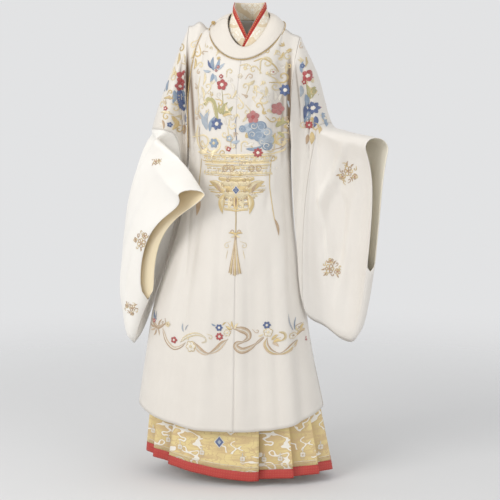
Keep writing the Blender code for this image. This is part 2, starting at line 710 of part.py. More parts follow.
def skirt_column_angles(z, part):
    """Angles and inset shares of the columns of one part of the skirt at one height."""
    t = (WAIST_Z - z) / (WAIST_Z - SKIRT_LOW_Z)
    front = [a + (b - a) * t for a, b in zip(FLAT_FRONT["waist"], FLAT_FRONT["hem"])]
    rear = [a + (b - a) * t for a, b in zip(FLAT_BACK["waist"], FLAT_BACK["hem"])]
    if part in ("front", "back"):
        ends = front if part == "front" else rear
        start, end = (skirt_angle(z, x, part == "back") for x in ends)
        return [(start + (end - start) * i / FLAT_COLUMNS, 0.0) for i in range(FLAT_COLUMNS + 1)]
    if part == "left":
        start, end = skirt_angle(z, front[1], False), skirt_angle(z, rear[1], True)
    else:
        start, end = skirt_angle(z, front[0], False), skirt_angle(z, rear[0], True) - 360
    step = (end - start) / PLEATS_A_SIDE
    columns = []
    for i in range(PLEATS_A_SIDE):
        is_last = i == PLEATS_A_SIDE - 1
        inner_start = start + step * (i - (PLEAT_TUCK if i else PANEL_TUCK))
        outer_end = start + step * (i + 1 + (PANEL_TUCK if is_last else 0.0))
        columns.append((inner_start, 1.0))
        columns.append(((inner_start + outer_end) / 2, 0.62))
        columns.append((outer_end, 0.95 if is_last else 0.0))
    return columns


def skirt_grid(part, is_band):
    """Outer points of one part of the skirt: the pleated cloth, or the red band along its hem."""
    rows = 1 if is_band else SKIRT_ROWS
    low_columns = skirt_column_angles(SKIRT_LOW_Z, part)
    grid = np.zeros((rows + 1, len(low_columns), 3))
    for r in range(rows + 1):
        for i, (low_angle, _) in enumerate(low_columns):
            hem = skirt_hem(skirt_at(low_angle, SKIRT_LOW_Z, 0.0)[0])
            seam = hem + RED_BAND
            if is_band:
                z = seam + (hem - seam) * r / rows
            else:
                z = WAIST_Z + (seam + SEAM_GAP - WAIST_Z) * r / rows
            angle, share = skirt_column_angles(z, part)[i]
            t = (WAIST_Z - z) / (WAIST_Z - SKIRT_LOW_Z)
            depth = PLEAT_DEPTH["waist"] + (PLEAT_DEPTH["hem"] - PLEAT_DEPTH["waist"]) * t
            grid[r, i] = skirt_at(angle, z, depth * share)
    return grid


def wall_normals_in_plan(grid):
    """Mitred horizontal normals, so that a pleat's wall keeps its thickness round each fold."""
    result = np.zeros_like(grid)
    rows, columns, _ = grid.shape
    for r in range(rows):
        sides = []
        for c in range(columns - 1):
            along = grid[r, c + 1] - grid[r, c]
            sides.append(unit(np.array([along[1], -along[0], 0.0])))
        for c in range(columns):
            a = sides[max(c - 1, 0)]
            b = sides[min(c, columns - 2)]
            mean = a + b
            size = float(np.dot(mean, mean))
            mitre = 2 * mean / max(size, 0.55)
            result[r, c] = mitre
    middle = grid[rows // 2, columns // 2]
    if np.dot(result[rows // 2, columns // 2], np.array([middle[0], middle[1], 0.0])) < 0:
        result = -result
    return result


def make_skirt():
    names = {"front": "panel_front", "back": "panel_back", "left": "pleats_left", "right": "pleats_right"}
    for part, word in names.items():
        outer = skirt_grid(part, False)
        if part in ("front", "back"):
            pull_in(outer, 1, 0, SEAM_GAP)
            pull_in(outer, 1, -1, SEAM_GAP)
        wall("skirt_" + word, outer, outer - wall_normals_in_plan(outer) * SKIRT_CLOTH, "brocade")
        outer = skirt_grid(part, True)
        wall("skirt_hem_" + part, outer, outer - wall_normals_in_plan(outer) * SKIRT_CLOTH, "hem_red")
    band = WAISTBAND
    outer, inner = [], []
    for share in (1.0, 0.5, 0.0):
        z = WAIST_Z + SEAM_GAP + band["height"] * share
        inset = band["lean"] * band["height"] * share - band["out"]
        for points, depth in ((outer, inset), (inner, inset + band["cloth"])):
            flat = [skirt_at(360 * i / band["sides"], WAIST_Z, depth) for i in range(band["sides"])]
            points.append([(x, y, z) for x, y, _ in flat])
    wall("skirt_waistband", np.array(outer), np.array(inner), "brocade", closed=True)


# Collars, piping and button

def collar_point(degrees, share):
    """Point of the collar band; share 0 is its outer seam and 1 the neck opening."""
    low, high = ring_point(RING, degrees), ring_point(NECK, degrees)
    point = low + (high - low) * share
    point[2] += COLLAR_BAND["crown"] * math.sin(math.pi * share)
    return point


def make_collar():
    """The standing band round the neck, open by a seam gap at the wearer's right shoulder."""
    band = COLLAR_BAND
    outer = np.zeros((band["rows"] + 1, band["columns"] + 1, 3))
    for r in range(band["rows"] + 1):
        for c in range(band["columns"] + 1):
            degrees = band["start"] + band["turn"] * c / band["columns"]
            outer[r, c] = collar_point(degrees, r / band["rows"])
    normal = normals_of(outer, lambda p: np.array([p[0] - RING["x"], p[1], 0.05]))
    outer += normal * (COLLAR_CLOTH + 2 * SEAM_GAP)
    wall("collar_band", outer, outer - normal * COLLAR_CLOTH, "satin")


def cord(name, path):
    """A round gold cord along a path of points, as a curve with filled caps."""
    curve = bpy.data.curves.new(name, "CURVE")
    curve.dimensions = "3D"
    curve.bevel_depth = PIPING["radius"]
    curve.bevel_resolution = (PIPING["sides"] - 4) // 2
    curve.use_fill_caps = True
    spline = curve.splines.new("POLY")
    spline.points.add(len(path) - 1)
    for knot, p in zip(spline.points, path):
        knot.co = (*p, 1.0)
    made = bpy.data.objects.new(name, curve)
    bpy.context.collection.objects.link(made)
    curve.materials.append(material("gold"))


def make_piping(overlap):
    radius = PIPING["radius"]
    path = []
    for i in range(PIPING["points"] + 1):
        degrees = PIPING["start"] + PIPING["turn"] * i / PIPING["points"]
        p = ring_point(RING, degrees)
        radial = unit(np.array([p[0] - RING["x"], p[1], 0.0]))
        tilt = math.radians(8 + 52 * math.sin(math.radians(degrees)) ** 2)
        out = radial * math.cos(tilt) + np.array([0, 0, math.sin(tilt)])
        down = radial * math.sin(tilt) - np.array([0, 0, math.cos(tilt)])
        path.append(p + out * (radius + PIPING["off_collar"]) + down * (radius + PIPING["above"]))
    cord("collar_piping", path)
    path = []
    for p in overlap[1:ROWS_ABOVE + 1, -1]:
        out = unit(np.array([p[0] * 0.9, p[1] - 0.02, 0.03]))
        path.append(p + out * (radius + PIPING["off_overlap"]))
    cord("overlap_piping", path)


def make_button():
    mesh = bpy.data.meshes.new("knot_button")
    shape = bmesh.new()
    bmesh.ops.create_uvsphere(shape, u_segments=BUTTON["segments"], v_segments=8, radius=BUTTON["radius"])
    shape.to_mesh(mesh)
    shape.free()
    mesh.shade_smooth()
    made = bpy.data.objects.new("knot_button", mesh)
    seat = collar_point(BUTTON["degrees"], BUTTON["share"])
    out = unit(np.array([-0.55, 0.0, 1.0]))
    made.location = seat + out * (BUTTON["radius"] + BUTTON["above_seam"])
    bpy.context.collection.objects.link(made)
    mesh.materials.append(material("gold"))


def under_collar_point(side, share, t, lift):
    """Point of an under-collar half. share: 0 centre back, 1 front end. t: 0 lower edge, 1 upper."""
    u = UNDER_COLLAR
    degrees = 180 - share * u["turn"]
    s, c = math.sin(math.radians(degrees)) * side, math.cos(math.radians(degrees))
    fall = max(0.0, (share - u["falls_from"]) / (1 - u["falls_from"]))
    top_z = u["top_z"] - u["top_fall"] * fall ** 1.55
    low_z = u["low_z"] - u["low_fall"] * fall ** 1.55
    z = low_z + (top_z - low_z) * t
    half_x = u["low_half_x"] + (u["top_half_x"] - u["low_half_x"]) * t
    half_y = u["low_half_y"] + (u["top_half_y"] - u["low_half_y"]) * t
    forward = -0.012 * fall if side == 1 else -0.008 * fall
    lifted = 1 + lift / u["top_half_x"]
    return np.array([u["x"] + half_x * s * lifted, -half_y * c * lifted + forward, z])


def make_under_collar():
    """Two bands that cross in front, the wearer's right one tucked in under the left one."""
    u = UNDER_COLLAR
    columns = u["columns"]
    for side, word, tuck in ((1, "left", 0.0), (-1, "right", -u["tuck"])):
        lifts = [tuck * ease(c / columns * 2.5 - 1.2) for c in range(columns + 1)]
        band = np.array([[under_collar_point(side, c / columns, 1 - r / 3, lifts[c])
                          for c in range(columns + 1)] for r in range(4)])
        normal = under_collar_normals(band)
        pull_in(band, 1, 0, SEAM_GAP / 2)
        wall("under_collar_" + word, band, band - normal * u["cloth"], "collar_brocade")
        share = u["trim"] / (u["top_z"] - u["low_z"])
        strip = np.array([[under_collar_point(side, c / columns, 1 - share * r, lifts[c])
                           for c in range(columns + 1)] for r in range(2)])
        normal = under_collar_normals(strip)
        pull_in(strip, 1, 0, SEAM_GAP / 2)
        strip += normal * (u["trim_cloth"] + SEAM_GAP)
        wall("under_trim_" + word, strip, strip - normal * u["trim_cloth"], "trim_red")


def under_collar_normals(grid):
    normal = normals_of(grid, lambda p: np.array([p[0] - UNDER_COLLAR["x"], p[1], 0.0]))
    normal[:, 0, 0] = 0.0
    normal[:, 0] /= np.linalg.norm(normal[:, 0], axis=1, keepdims=True)
    return normal


armhole_rims, overlap_points = make_body()
make_sleeves(armhole_rims)
make_skirt()
make_collar()
make_piping(overlap_points)
make_button()
make_under_collar()
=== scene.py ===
import math
import random

import bmesh
import bpy
import numpy as np
from mathutils import Euler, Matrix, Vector
from mathutils.bvhtree import BVHTree


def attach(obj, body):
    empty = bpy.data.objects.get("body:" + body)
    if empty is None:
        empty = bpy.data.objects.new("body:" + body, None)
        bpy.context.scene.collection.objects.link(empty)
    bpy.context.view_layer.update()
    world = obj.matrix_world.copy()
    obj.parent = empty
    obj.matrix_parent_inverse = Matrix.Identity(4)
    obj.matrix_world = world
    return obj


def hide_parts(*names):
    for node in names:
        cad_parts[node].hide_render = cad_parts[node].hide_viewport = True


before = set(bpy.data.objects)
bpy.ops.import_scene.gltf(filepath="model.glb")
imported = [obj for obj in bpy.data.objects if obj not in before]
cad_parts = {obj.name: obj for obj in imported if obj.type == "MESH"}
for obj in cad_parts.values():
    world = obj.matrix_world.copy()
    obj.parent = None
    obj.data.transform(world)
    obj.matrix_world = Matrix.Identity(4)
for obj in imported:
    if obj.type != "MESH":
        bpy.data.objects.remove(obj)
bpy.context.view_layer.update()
random.seed(7)

# Stage, light and camera

view = {"place": (0.724, -3.934, -0.18), "tilt": 83.45, "turn": 10.0, "lens": 96.0, "sensor": 36.0}
studio = {
    "surround": (0.985, 0.99, 1.0), "bright": 0.775, "soft": 0.42, "softFrom": 0.34, "softBy": 0.75,
    "floorZ": -1.33, "floor": (0.82, 0.82, 0.82), "floorRadius": 3.8, "fadeFrom": 0.8,
    "lamps": [
        # name, place, aim, width, power, colour
        ("key", (-2.4, -3.4, 1.6), (0, 0, -0.5), 2.2, 84, (1.0, 0.985, 0.96)),
        ("fill", (3.2, -3.0, 0.6), (0, 0, -0.6), 2.6, 24, (0.97, 0.985, 1.0)),
        ("top", (0, -0.4, 3.0), (0, 0, -0.4), 3.0, 30, (1.0, 1.0, 1.0)),
    ],
}


def metres(value):
    if isinstance(value, str):
        return value
    if isinstance(value, (list, tuple)):
        return tuple(metres(v) for v in value)
    return value / 1000


def inMetres(rows, plain=()):
    # tables are written in millimetres; their plain columns hold turns, counts and shares
    return [tuple(v if i in plain else metres(v) for i, v in enumerate(row)) for row in rows]


def addObject(name, data):
    made = bpy.data.objects.new(name, data)
    bpy.context.collection.objects.link(made)
    return made


def setInputs(node, values):
    for label, value in values.items():
        node.inputs[label].default_value = value


def fadeNode(tree, value, interpolation, fromMin, fromMax, toMin, toMax):
    node = tree.nodes.new("ShaderNodeMapRange")
    node.interpolation_type = interpolation
    setInputs(node, {"From Min": fromMin, "From Max": fromMax, "To Min": toMin, "To Max": toMax})
    tree.links.new(value, node.inputs["Value"])
    return node.outputs["Result"]


def buildCamera():
    camera = bpy.data.cameras.new("camera")
    camera.lens = view["lens"]
    camera.sensor_width = view["sensor"]
    holder = addObject("camera", camera)
    holder.location = view["place"]
    holder.rotation_euler = Euler((math.radians(view["tilt"]), 0, math.radians(view["turn"])))
    bpy.context.scene.camera = holder


def buildLamps():
    for name, place, aim, width, power, colour in studio["lamps"]:
        lamp = bpy.data.lights.new(name, "AREA")
        lamp.shape = "RECTANGLE"
        lamp.size, lamp.size_y = width, width
        lamp.energy = power
        lamp.color = colour
        holder = addObject(name, lamp)
        holder.location = place
        holder.rotation_euler = (Vector(aim) - Vector(place)).to_track_quat("-Z", "Y").to_euler()


def buildFloor():
    # a round floor that fades into the even pale surround, so that no horizon shows from any side
    bm = bmesh.new()
    bmesh.ops.create_circle(bm, cap_ends=True, cap_tris=True, segments=96, radius=studio["floorRadius"])
    bmesh.ops.translate(bm, vec=(0, 0, studio["floorZ"]), verts=bm.verts)
    mesh = bpy.data.meshes.new("floor")
    bm.to_mesh(mesh)
    bm.free()
    paper = bpy.data.materials.new("floorPaper")
    paper.use_nodes = True
    tree = paper.node_tree
    shader = tree.nodes["Principled BSDF"]
    setInputs(shader, {"Base Color": (*studio["floor"], 1), "Roughness": 0.9, "Specular IOR Level": 0.1})
    away = tree.nodes.new("ShaderNodeVectorMath")
    away.operation = "LENGTH"
    tree.links.new(tree.nodes.new("ShaderNodeTexCoord").outputs["Object"], away.inputs[0])
    fade = fadeNode(tree, away.outputs["Value"], "SMOOTHERSTEP", studio["fadeFrom"],
                    studio["floorRadius"], 1.0, 0.0)
    tree.links.new(fade, shader.inputs["Alpha"])
    mesh.materials.append(paper)
    addObject("floor", mesh)


def buildSurround():
    # bright round the horizon and softer above and below
    world = bpy.data.worlds.new("studio")
    world.use_nodes = True
    tree = world.node_tree
    sky = tree.nodes["Background"]
    parts = tree.nodes.new("ShaderNodeSeparateXYZ")
    tree.links.new(tree.nodes.new("ShaderNodeTexCoord").outputs["Generated"], parts.inputs[0])
    height = tree.nodes.new("ShaderNodeMath")
    height.operation = "ABSOLUTE"
    tree.links.new(parts.outputs["Z"], height.inputs[0])
    strength = fadeNode(tree, height.outputs[0], "SMOOTHSTEP", studio["softFrom"], studio["softBy"],
                        studio["bright"], studio["soft"])
    sky.inputs["Color"].default_value = (*studio["surround"], 1)
    tree.links.new(strength, sky.inputs["Strength"])
    bpy.context.scene.world = world
    bpy.context.scene.view_settings.view_transform = "Standard"


buildCamera()
buildFloor()
buildSurround()
buildLamps()
print("stage, lights and camera are set")

# Shader groups and cloth materials


def startGroup(name, inputs, outputs):
    tree = bpy.data.node_groups.new(name, "ShaderNodeTree")
    for label, kind, value in inputs:
        socket = tree.interface.new_socket(label, in_out="INPUT", socket_type="NodeSocket" + kind)
        if value is not None:
            socket.default_value = value
    for label, kind in outputs:
        tree.interface.new_socket(label, in_out="OUTPUT", socket_type="NodeSocket" + kind)
    return tree, tree.nodes.new("NodeGroupInput"), tree.nodes.new("NodeGroupOutput")


def mathNode(tree, operation, a, b=None, c=None):
    node = tree.nodes.new("ShaderNodeMath")
    node.operation = operation
    for slot, value in enumerate((a, b, c)):
        if value is None:
            continue
        if isinstance(value, (int, float)):
            node.inputs[slot].default_value = value
        else:
            tree.links.new(value, node.inputs[slot])
    return node.outputs[0]


def limited(tree, value):
    return mathNode(tree, "MINIMUM", mathNode(tree, "MAXIMUM", value, 0.0), 1.0)


def vectorNode(tree, operation, a, b=None, scale=None):
    node = tree.nodes.new("ShaderNodeVectorMath")
    node.operation = operation
    for slot, value in ((0, a), (1, b), ("Scale", scale)):
        if isinstance(value, tuple):
            node.inputs[slot].default_value = value
        elif value is not None:
            tree.links.new(value, node.inputs[slot])
    return node.outputs[0]


def splitVector(tree, vector):
    parts = tree.nodes.new("ShaderNodeSeparateXYZ")
    tree.links.new(vector, parts.inputs[0])
    return parts.outputs


def cellNode(tree, vector, randomness):
    cells = tree.nodes.new("ShaderNodeTexVoronoi")
    cells.voronoi_dimensions = "2D"
    cells.inputs["Randomness"].default_value = randomness
    tree.links.new(vector, cells.inputs["Vector"])
    return cells


def mixColour(tree, amount, a, b, blend="MIX"):
    node = tree.nodes.new("ShaderNodeMix")
    node.data_type = "RGBA"
    node.blend_type = blend
    for slot, value in ((0, amount), (6, a), (7, b)):
        if isinstance(value, (int, float)):
            node.inputs[slot].default_value = value
        elif isinstance(value, tuple):
            node.inputs[slot].default_value = (*value, 1) if len(value) == 3 else value
        else:
            tree.links.new(value, node.inputs[slot])
    return node.outputs[2]


def waveNode(tree, vector, direction, scale, distortion=0.0):
    node = tree.nodes.new("ShaderNodeTexWave")
    node.wave_type = "BANDS"
    node.bands_direction = direction
    setInputs(node, {"Scale": scale, "Distortion": distortion})
    tree.links.new(vector, node.inputs["Vector"])
    return node.outputs["Fac"]


def noiseNode(tree, vector, scale, detail=2.0):
    node = tree.nodes.new("ShaderNodeTexNoise")
    setInputs(node, {"Scale": scale, "Detail": detail})
    tree.links.new(vector, node.inputs["Vector"])
    return node.outputs["Fac"]


# scales are waves or cells over a metre of cloth
weave = {"warp": 420.0, "warpWander": 0.4, "weft": 150.0, "weftWander": 0.6, "tieSharpness": 6.0,
         "cloudy": 38.0,
         "warpShare": 0.6, "tieShare": 0.4, "gloss": 0.36, "glossRange": 0.12}
# the faint patches of tone that the painted fold shade group also lays over the cloth
foldShadeAndPatches = {"patchScale": 9.0, "patchShare": 0.10}
rosette = {"randomness": 0.55, "lobes": 6.0, "lobeDepth": 0.09, "radius": 0.27, "ringOff": 0.10,
           "ringHalf": 0.045, "scroll": 9.0, "scrollWander": 9.0, "scrollFrom": 0.80}
clouds = {"stretch": (0.62, 1.0, 1.0), "scroll": 40.0, "scrollLevel": 0.53, "scrollHalf": 0.033,
          "places": 15.0, "placeFrom": 0.50, "outline": 0.056, "outlineHalf": 0.016, "fine": 62.0,
          "fineHalf": 0.022, "streakStretch": (0.16, 1.0, 1.0), "streak": 62.0,
          "streakFrom": 0.46, "streakGain": 7.0}
# between: the colour multiplied in as painted shade between the threads
stitchLook = {"threads": 330.0, "wander": 0.6, "patches": 70.0, "between": (0.72, 0.68, 0.66), "light": 0.25,
              "threadShare": 0.8, "patchShare": 0.7}


def buildWeaveGroup():
    # satin floats: long warp threads with short ties across, from a UV map in metres
    tree, start, end = startGroup("satinWeave", [("UV", "Vector", None), ("Slub", "Float", 0.3)],
                                  [("Height", "Float"), ("Gloss", "Float")])
    uv = start.outputs["UV"]
    warp = waveNode(tree, uv, "X", weave["warp"], weave["warpWander"])
    weft = waveNode(tree, uv, "Y", weave["weft"], weave["weftWander"])
    ties = mathNode(tree, "POWER", weft, weave["tieSharpness"])
    cloudy = noiseNode(tree, uv, weave["cloudy"], 3.0)
    slub = mathNode(tree, "MULTIPLY", mathNode(tree, "SUBTRACT", cloudy, 0.5), start.outputs["Slub"])
    height = mathNode(tree, "ADD", mathNode(tree, "MULTIPLY", warp, weave["warpShare"]),
                      mathNode(tree, "MULTIPLY", ties, weave["tieShare"]))
    tree.links.new(mathNode(tree, "ADD", height, slub), end.inputs["Height"])
    tree.links.new(mathNode(tree, "MULTIPLY_ADD", cloudy, weave["glossRange"], weave["gloss"]),
                   end.inputs["Gloss"])
    return tree


def buildFoldToneGroup():
    # painted shade: a warm dark colour is painted into the deep folds, as much as Fold asks, and a faint
    # unevenness of tone runs over the cloth
    tree, start, end = startGroup("foldShadeAndPatches", [("UV", "Vector", None), ("Cloth", "Color", (1, 1, 1, 1)),
                                               ("Deep", "Color", (0.6, 0.5, 0.3, 1)), ("Fold", "Float", 0.0)],
                                  [("Color", "Color")])
    cloth, shadeAndPatchColour = start.outputs["Cloth"], start.outputs["Deep"]
    # painted shade: the cloth turns towards the shade colour where the fold shade value is high
    shadedInFolds = mixColour(tree, limited(tree, start.outputs["Fold"]), cloth, shadeAndPatchColour)
    patchy = mathNode(tree, "MULTIPLY", noiseNode(tree, start.outputs["UV"], foldShadeAndPatches["patchScale"]),
                      foldShadeAndPatches["patchShare"])
    tree.links.new(mixColour(tree, patchy, shadedInFolds, shadeAndPatchColour), end.inputs["Color"])
    return tree


def buildRosetteGroup():
    # woven rosettes and scroll lines in a repeat, from a UV map in metres
    tree, start, end = startGroup("rosetteRepeat", [("UV", "Vector", None), ("Scale", "Float", 18.0)],
                                  [("Petals", "Float"), ("Lines", "Float")])
    uv, scale = start.outputs["UV"], start.outputs["Scale"]
    cells = cellNode(tree, uv, rosette["randomness"])
    tree.links.new(scale, cells.inputs["Scale"])
    away = vectorNode(tree, "SUBTRACT", vectorNode(tree, "SCALE", uv, scale=scale),
                      vectorNode(tree, "SCALE", cells.outputs["Position"], scale=scale))
    parts = splitVector(tree, away)
    angle = mathNode(tree, "ARCTAN2", parts[1], parts[0])
    lobes = mathNode(tree, "COSINE", mathNode(tree, "MULTIPLY", angle, rosette["lobes"]))
    edge = mathNode(tree, "MULTIPLY_ADD", lobes, rosette["lobeDepth"], rosette["radius"])
    distance = cells.outputs["Distance"]
    tree.links.new(mathNode(tree, "LESS_THAN", distance, edge), end.inputs["Petals"])
    offRing = mathNode(tree, "SUBTRACT", distance, mathNode(tree, "ADD", edge, rosette["ringOff"]))
    ring = mathNode(tree, "LESS_THAN", mathNode(tree, "ABSOLUTE", offRing), rosette["ringHalf"])
    scroll = waveNode(tree, uv, "DIAGONAL", rosette["scroll"], rosette["scrollWander"])
    scrollLine = mathNode(tree, "GREATER_THAN", scroll, rosette["scrollFrom"])
    tree.links.new(mathNode(tree, "MAXIMUM", ring, scrollLine), end.inputs["Lines"])
    return tree


def buildCloudGroup():
    # woven cloud scrolls with fine outlines over level streaks, from a UV map in metres
    tree, start, end = startGroup("cloudScrolls", [("UV", "Vector", None)],
                                  [("Scrolls", "Float"), ("Lines", "Float"), ("Streaks", "Float")])
    uv = start.outputs["UV"]
    drawn = vectorNode(tree, "MULTIPLY", uv, clouds["stretch"])
    field = noiseNode(tree, drawn, clouds["scroll"], 0.6)
    away = mathNode(tree, "ABSOLUTE", mathNode(tree, "SUBTRACT", field, clouds["scrollLevel"]))
    place = mathNode(tree, "GREATER_THAN", noiseNode(tree, drawn, clouds["places"], 0.0), clouds["placeFrom"])
    scrolls = mathNode(tree, "MULTIPLY", mathNode(tree, "LESS_THAN", away, clouds["scrollHalf"]), place)
    outline = mathNode(tree, "COMPARE", away, clouds["outline"], clouds["outlineHalf"])
    fine = mathNode(tree, "COMPARE", noiseNode(tree, drawn, clouds["fine"], 1.0), 0.5, clouds["fineHalf"])
    lines = mathNode(tree, "MAXIMUM", mathNode(tree, "MULTIPLY", outline, place), fine)
    level = vectorNode(tree, "MULTIPLY", uv, clouds["streakStretch"])
    above = mathNode(tree, "SUBTRACT", noiseNode(tree, level, clouds["streak"]), clouds["streakFrom"])
    tree.links.new(scrolls, end.inputs["Scrolls"])
    tree.links.new(lines, end.inputs["Lines"])
    tree.links.new(limited(tree, mathNode(tree, "MULTIPLY", above, clouds["streakGain"])),
                   end.inputs["Streaks"])
    return tree


def buildStitchGroup():
    # satin stitch: fine parallel threads with painted shade in the grooves between them
    tree, start, end = startGroup("satinStitch", [("Place", "Vector", None),
                                                   ("Thread", "Color", (1, 1, 1, 1))],
                                  [("Color", "Color"), ("Height", "Float")])
    place, thread = start.outputs["Place"], start.outputs["Thread"]
    threads = waveNode(tree, place, "X", stitchLook["threads"], stitchLook["wander"])
    # painted shade: the thread colour is darkened in the grooves between threads
    dark = mixColour(tree, 1.0, thread, stitchLook["between"], "MULTIPLY")
    light = mixColour(tree, stitchLook["light"], thread, (1, 1, 1))
    body = mixColour(tree, mathNode(tree, "MULTIPLY", threads, stitchLook["threadShare"]), dark, thread)
    patchy = mathNode(tree, "MULTIPLY", noiseNode(tree, place, stitchLook["patches"]),
                      stitchLook["patchShare"])
    tree.links.new(mixColour(tree, patchy, body, light), end.inputs["Color"])
    tree.links.new(threads, end.inputs["Height"])
    return tree


weaveGroup = buildWeaveGroup()
foldShadeAndPatchGroup = buildFoldToneGroup()
rosetteGroup = buildRosetteGroup()
cloudGroup = buildCloudGroup()
stitchGroup = buildStitchGroup()


def startMaterial(name, roughness=0.5, sheen=0.0, metallic=0.0):
    made = bpy.data.materials.new(name)
    made.use_nodes = True
    shader = made.node_tree.nodes["Principled BSDF"]
    setInputs(shader, {"Roughness": roughness, "Metallic": metallic, "Sheen Weight": sheen,
                       "Sheen Roughness": 0.4})
    return made, made.node_tree, shader


def useGroup(tree, group, **values):
    node = tree.nodes.new("ShaderNodeGroup")
    node.node_tree = group
    for label, value in values.items():
        if isinstance(value, (int, float)):
            node.inputs[label].default_value = value
        elif isinstance(value, tuple):
            node.inputs[label].default_value = (*value, 1)
        else:
            tree.links.new(value, node.inputs[label])
    return node


def addBump(tree, shader, height, strength, distance):
    bump = tree.nodes.new("ShaderNodeBump")
    setInputs(bump, {"Strength": strength, "Distance": distance})
    tree.links.new(height, bump.inputs["Height"])
    tree.links.new(bump.outputs["Normal"], shader.inputs["Normal"])


def uvSource(tree):
    node = tree.nodes.new("ShaderNodeUVMap")
    node.uv_map = "clothUV"
    return node.outputs["UV"]


def foldShadeSource(tree):
    node = tree.nodes.new("ShaderNodeAttribute")
    node.attribute_name = "foldShade"
    return node.outputs["Fac"]


def satinMaterial(name, cloth, shadeAndPatchColour, sheen=0.12, slub=0.3):
    made, tree, shader = startMaterial(name, 0.42, sheen)
    uv = uvSource(tree)
    woven = useGroup(tree, weaveGroup, UV=uv, Slub=slub)
    # painted shade in the folds is read from the foldShade attribute
    clothWithFoldShade = useGroup(tree, foldShadeAndPatchGroup, UV=uv, Cloth=cloth, Deep=shadeAndPatchColour, Fold=foldShadeSource(tree))
    tree.links.new(clothWithFoldShade.outputs["Color"], shader.inputs["Base Color"])
    tree.links.new(woven.outputs["Gloss"], shader.inputs["Roughness"])
    addBump(tree, shader, woven.outputs["Height"], 0.25, 0.0003)
    return made


def patternedMaterial(name, roughness, ground, shadeAndPatchColour, group, colours, raised, gloss, redWidth=0.0, **values):
    # a woven ground with the masks of a pattern group laid over it, one of them raised and glossier;
    # colours: mask, colour, share
    made, tree, shader = startMaterial(name, roughness, 0.1)
    uv = uvSource(tree)
    woven = useGroup(tree, weaveGroup, UV=uv, Slub=0.5)
    pattern = useGroup(tree, group, UV=uv, **values)
    # painted shade in the folds is read from the foldShade attribute
    clothWithFoldShade = useGroup(tree, foldShadeAndPatchGroup, UV=uv, Cloth=ground, Deep=shadeAndPatchColour, Fold=foldShadeSource(tree))
    colour = clothWithFoldShade.outputs["Color"]
    for mask, over, share in colours:
        colour = mixColour(tree, mathNode(tree, "MULTIPLY", pattern.outputs[mask], share), colour, over)
    if redWidth:
        edge = mathNode(tree, "LESS_THAN", splitVector(tree, uv)[1], redWidth)
        colour = mixColour(tree, edge, colour, (0.46, 0.012, 0.009))
    tree.links.new(colour, shader.inputs["Base Color"])
    high = pattern.outputs[raised]
    tree.links.new(mathNode(tree, "MULTIPLY_ADD", high, -gloss[1], gloss[0]), shader.inputs["Roughness"])
    addBump(tree, shader, mathNode(tree, "MULTIPLY_ADD", high, 1.5, woven.outputs["Height"]), 0.35, 0.0004)
    return made


def cordMaterial(name, colour, roughness, metallic):
    made, tree, shader = startMaterial(name, roughness, 0.2, metallic)
    place = tree.nodes.new("ShaderNodeTexCoord").outputs["Object"]
    stitch = useGroup(tree, stitchGroup, Place=place, Thread=colour)
    tree.links.new(stitch.outputs["Color"], shader.inputs["Base Color"])
    addBump(tree, shader, stitch.outputs["Height"], 0.5, 0.0004)
    return made


def threadMaterial(name, roughness, metallic):
    # the colour of each stitched shape is kept on its vertices
    made, tree, shader = startMaterial(name, roughness, 0.2, metallic)
    tint = tree.nodes.new("ShaderNodeAttribute")
    tint.attribute_name = "threadColour"
    stitch = useGroup(tree, stitchGroup, Place=uvSource(tree), Thread=tint.outputs["Color"])
    tree.links.new(stitch.outputs["Color"], shader.inputs["Base Color"])
    addBump(tree, shader, stitch.outputs["Height"], 0.5, 0.0004)
    return made


# each cloth's second colour is the painted shade colour of its folds, which its faint patches also lean
# towards
cloths = {
    "satin": satinMaterial("creamSatin", (0.82, 0.775, 0.71), (0.17, 0.10, 0.045)),
    # the two lower sleeves are one satin: the left copy is darker as painted shade and the right copy lighter
    # as painted light, for how the light falls on each
    "sleeveLeft": satinMaterial("paintedShadeSleeveSatin", (0.83, 0.795, 0.745), (0.40, 0.28, 0.14)),
    "sleeveRight": satinMaterial("paintedLightSleeveSatin", (0.94, 0.915, 0.865), (0.40, 0.28, 0.14)),
    # painted light: the sleeves' insides are the same satin, lightened on the left for light through the thin
    # cloth and warmed golden on the right for bounced light
    "insideLeft": satinMaterial("paintedGlowInsideSatin", (0.95, 0.90, 0.78), (0.62, 0.50, 0.30)),
    "insideRight": satinMaterial("paintedBounceInsideSatin", (0.93, 0.80, 0.56), (0.62, 0.46, 0.22)),
    "collar": satinMaterial("collarSatin", (0.78, 0.73, 0.66), (0.55, 0.42, 0.22)),
    "brocade": patternedMaterial("goldCloudBrocade", 0.45, (0.86, 0.70, 0.34), (0.44, 0.29, 0.12), cloudGroup,
                                 [("Streaks", (0.66, 0.47, 0.25), 0.75), ("Lines", (0.66, 0.47, 0.25), 0.7),
                                  ("Scrolls", (0.94, 0.91, 0.84), 0.9)], "Scrolls", (0.56, 0.20)),
}
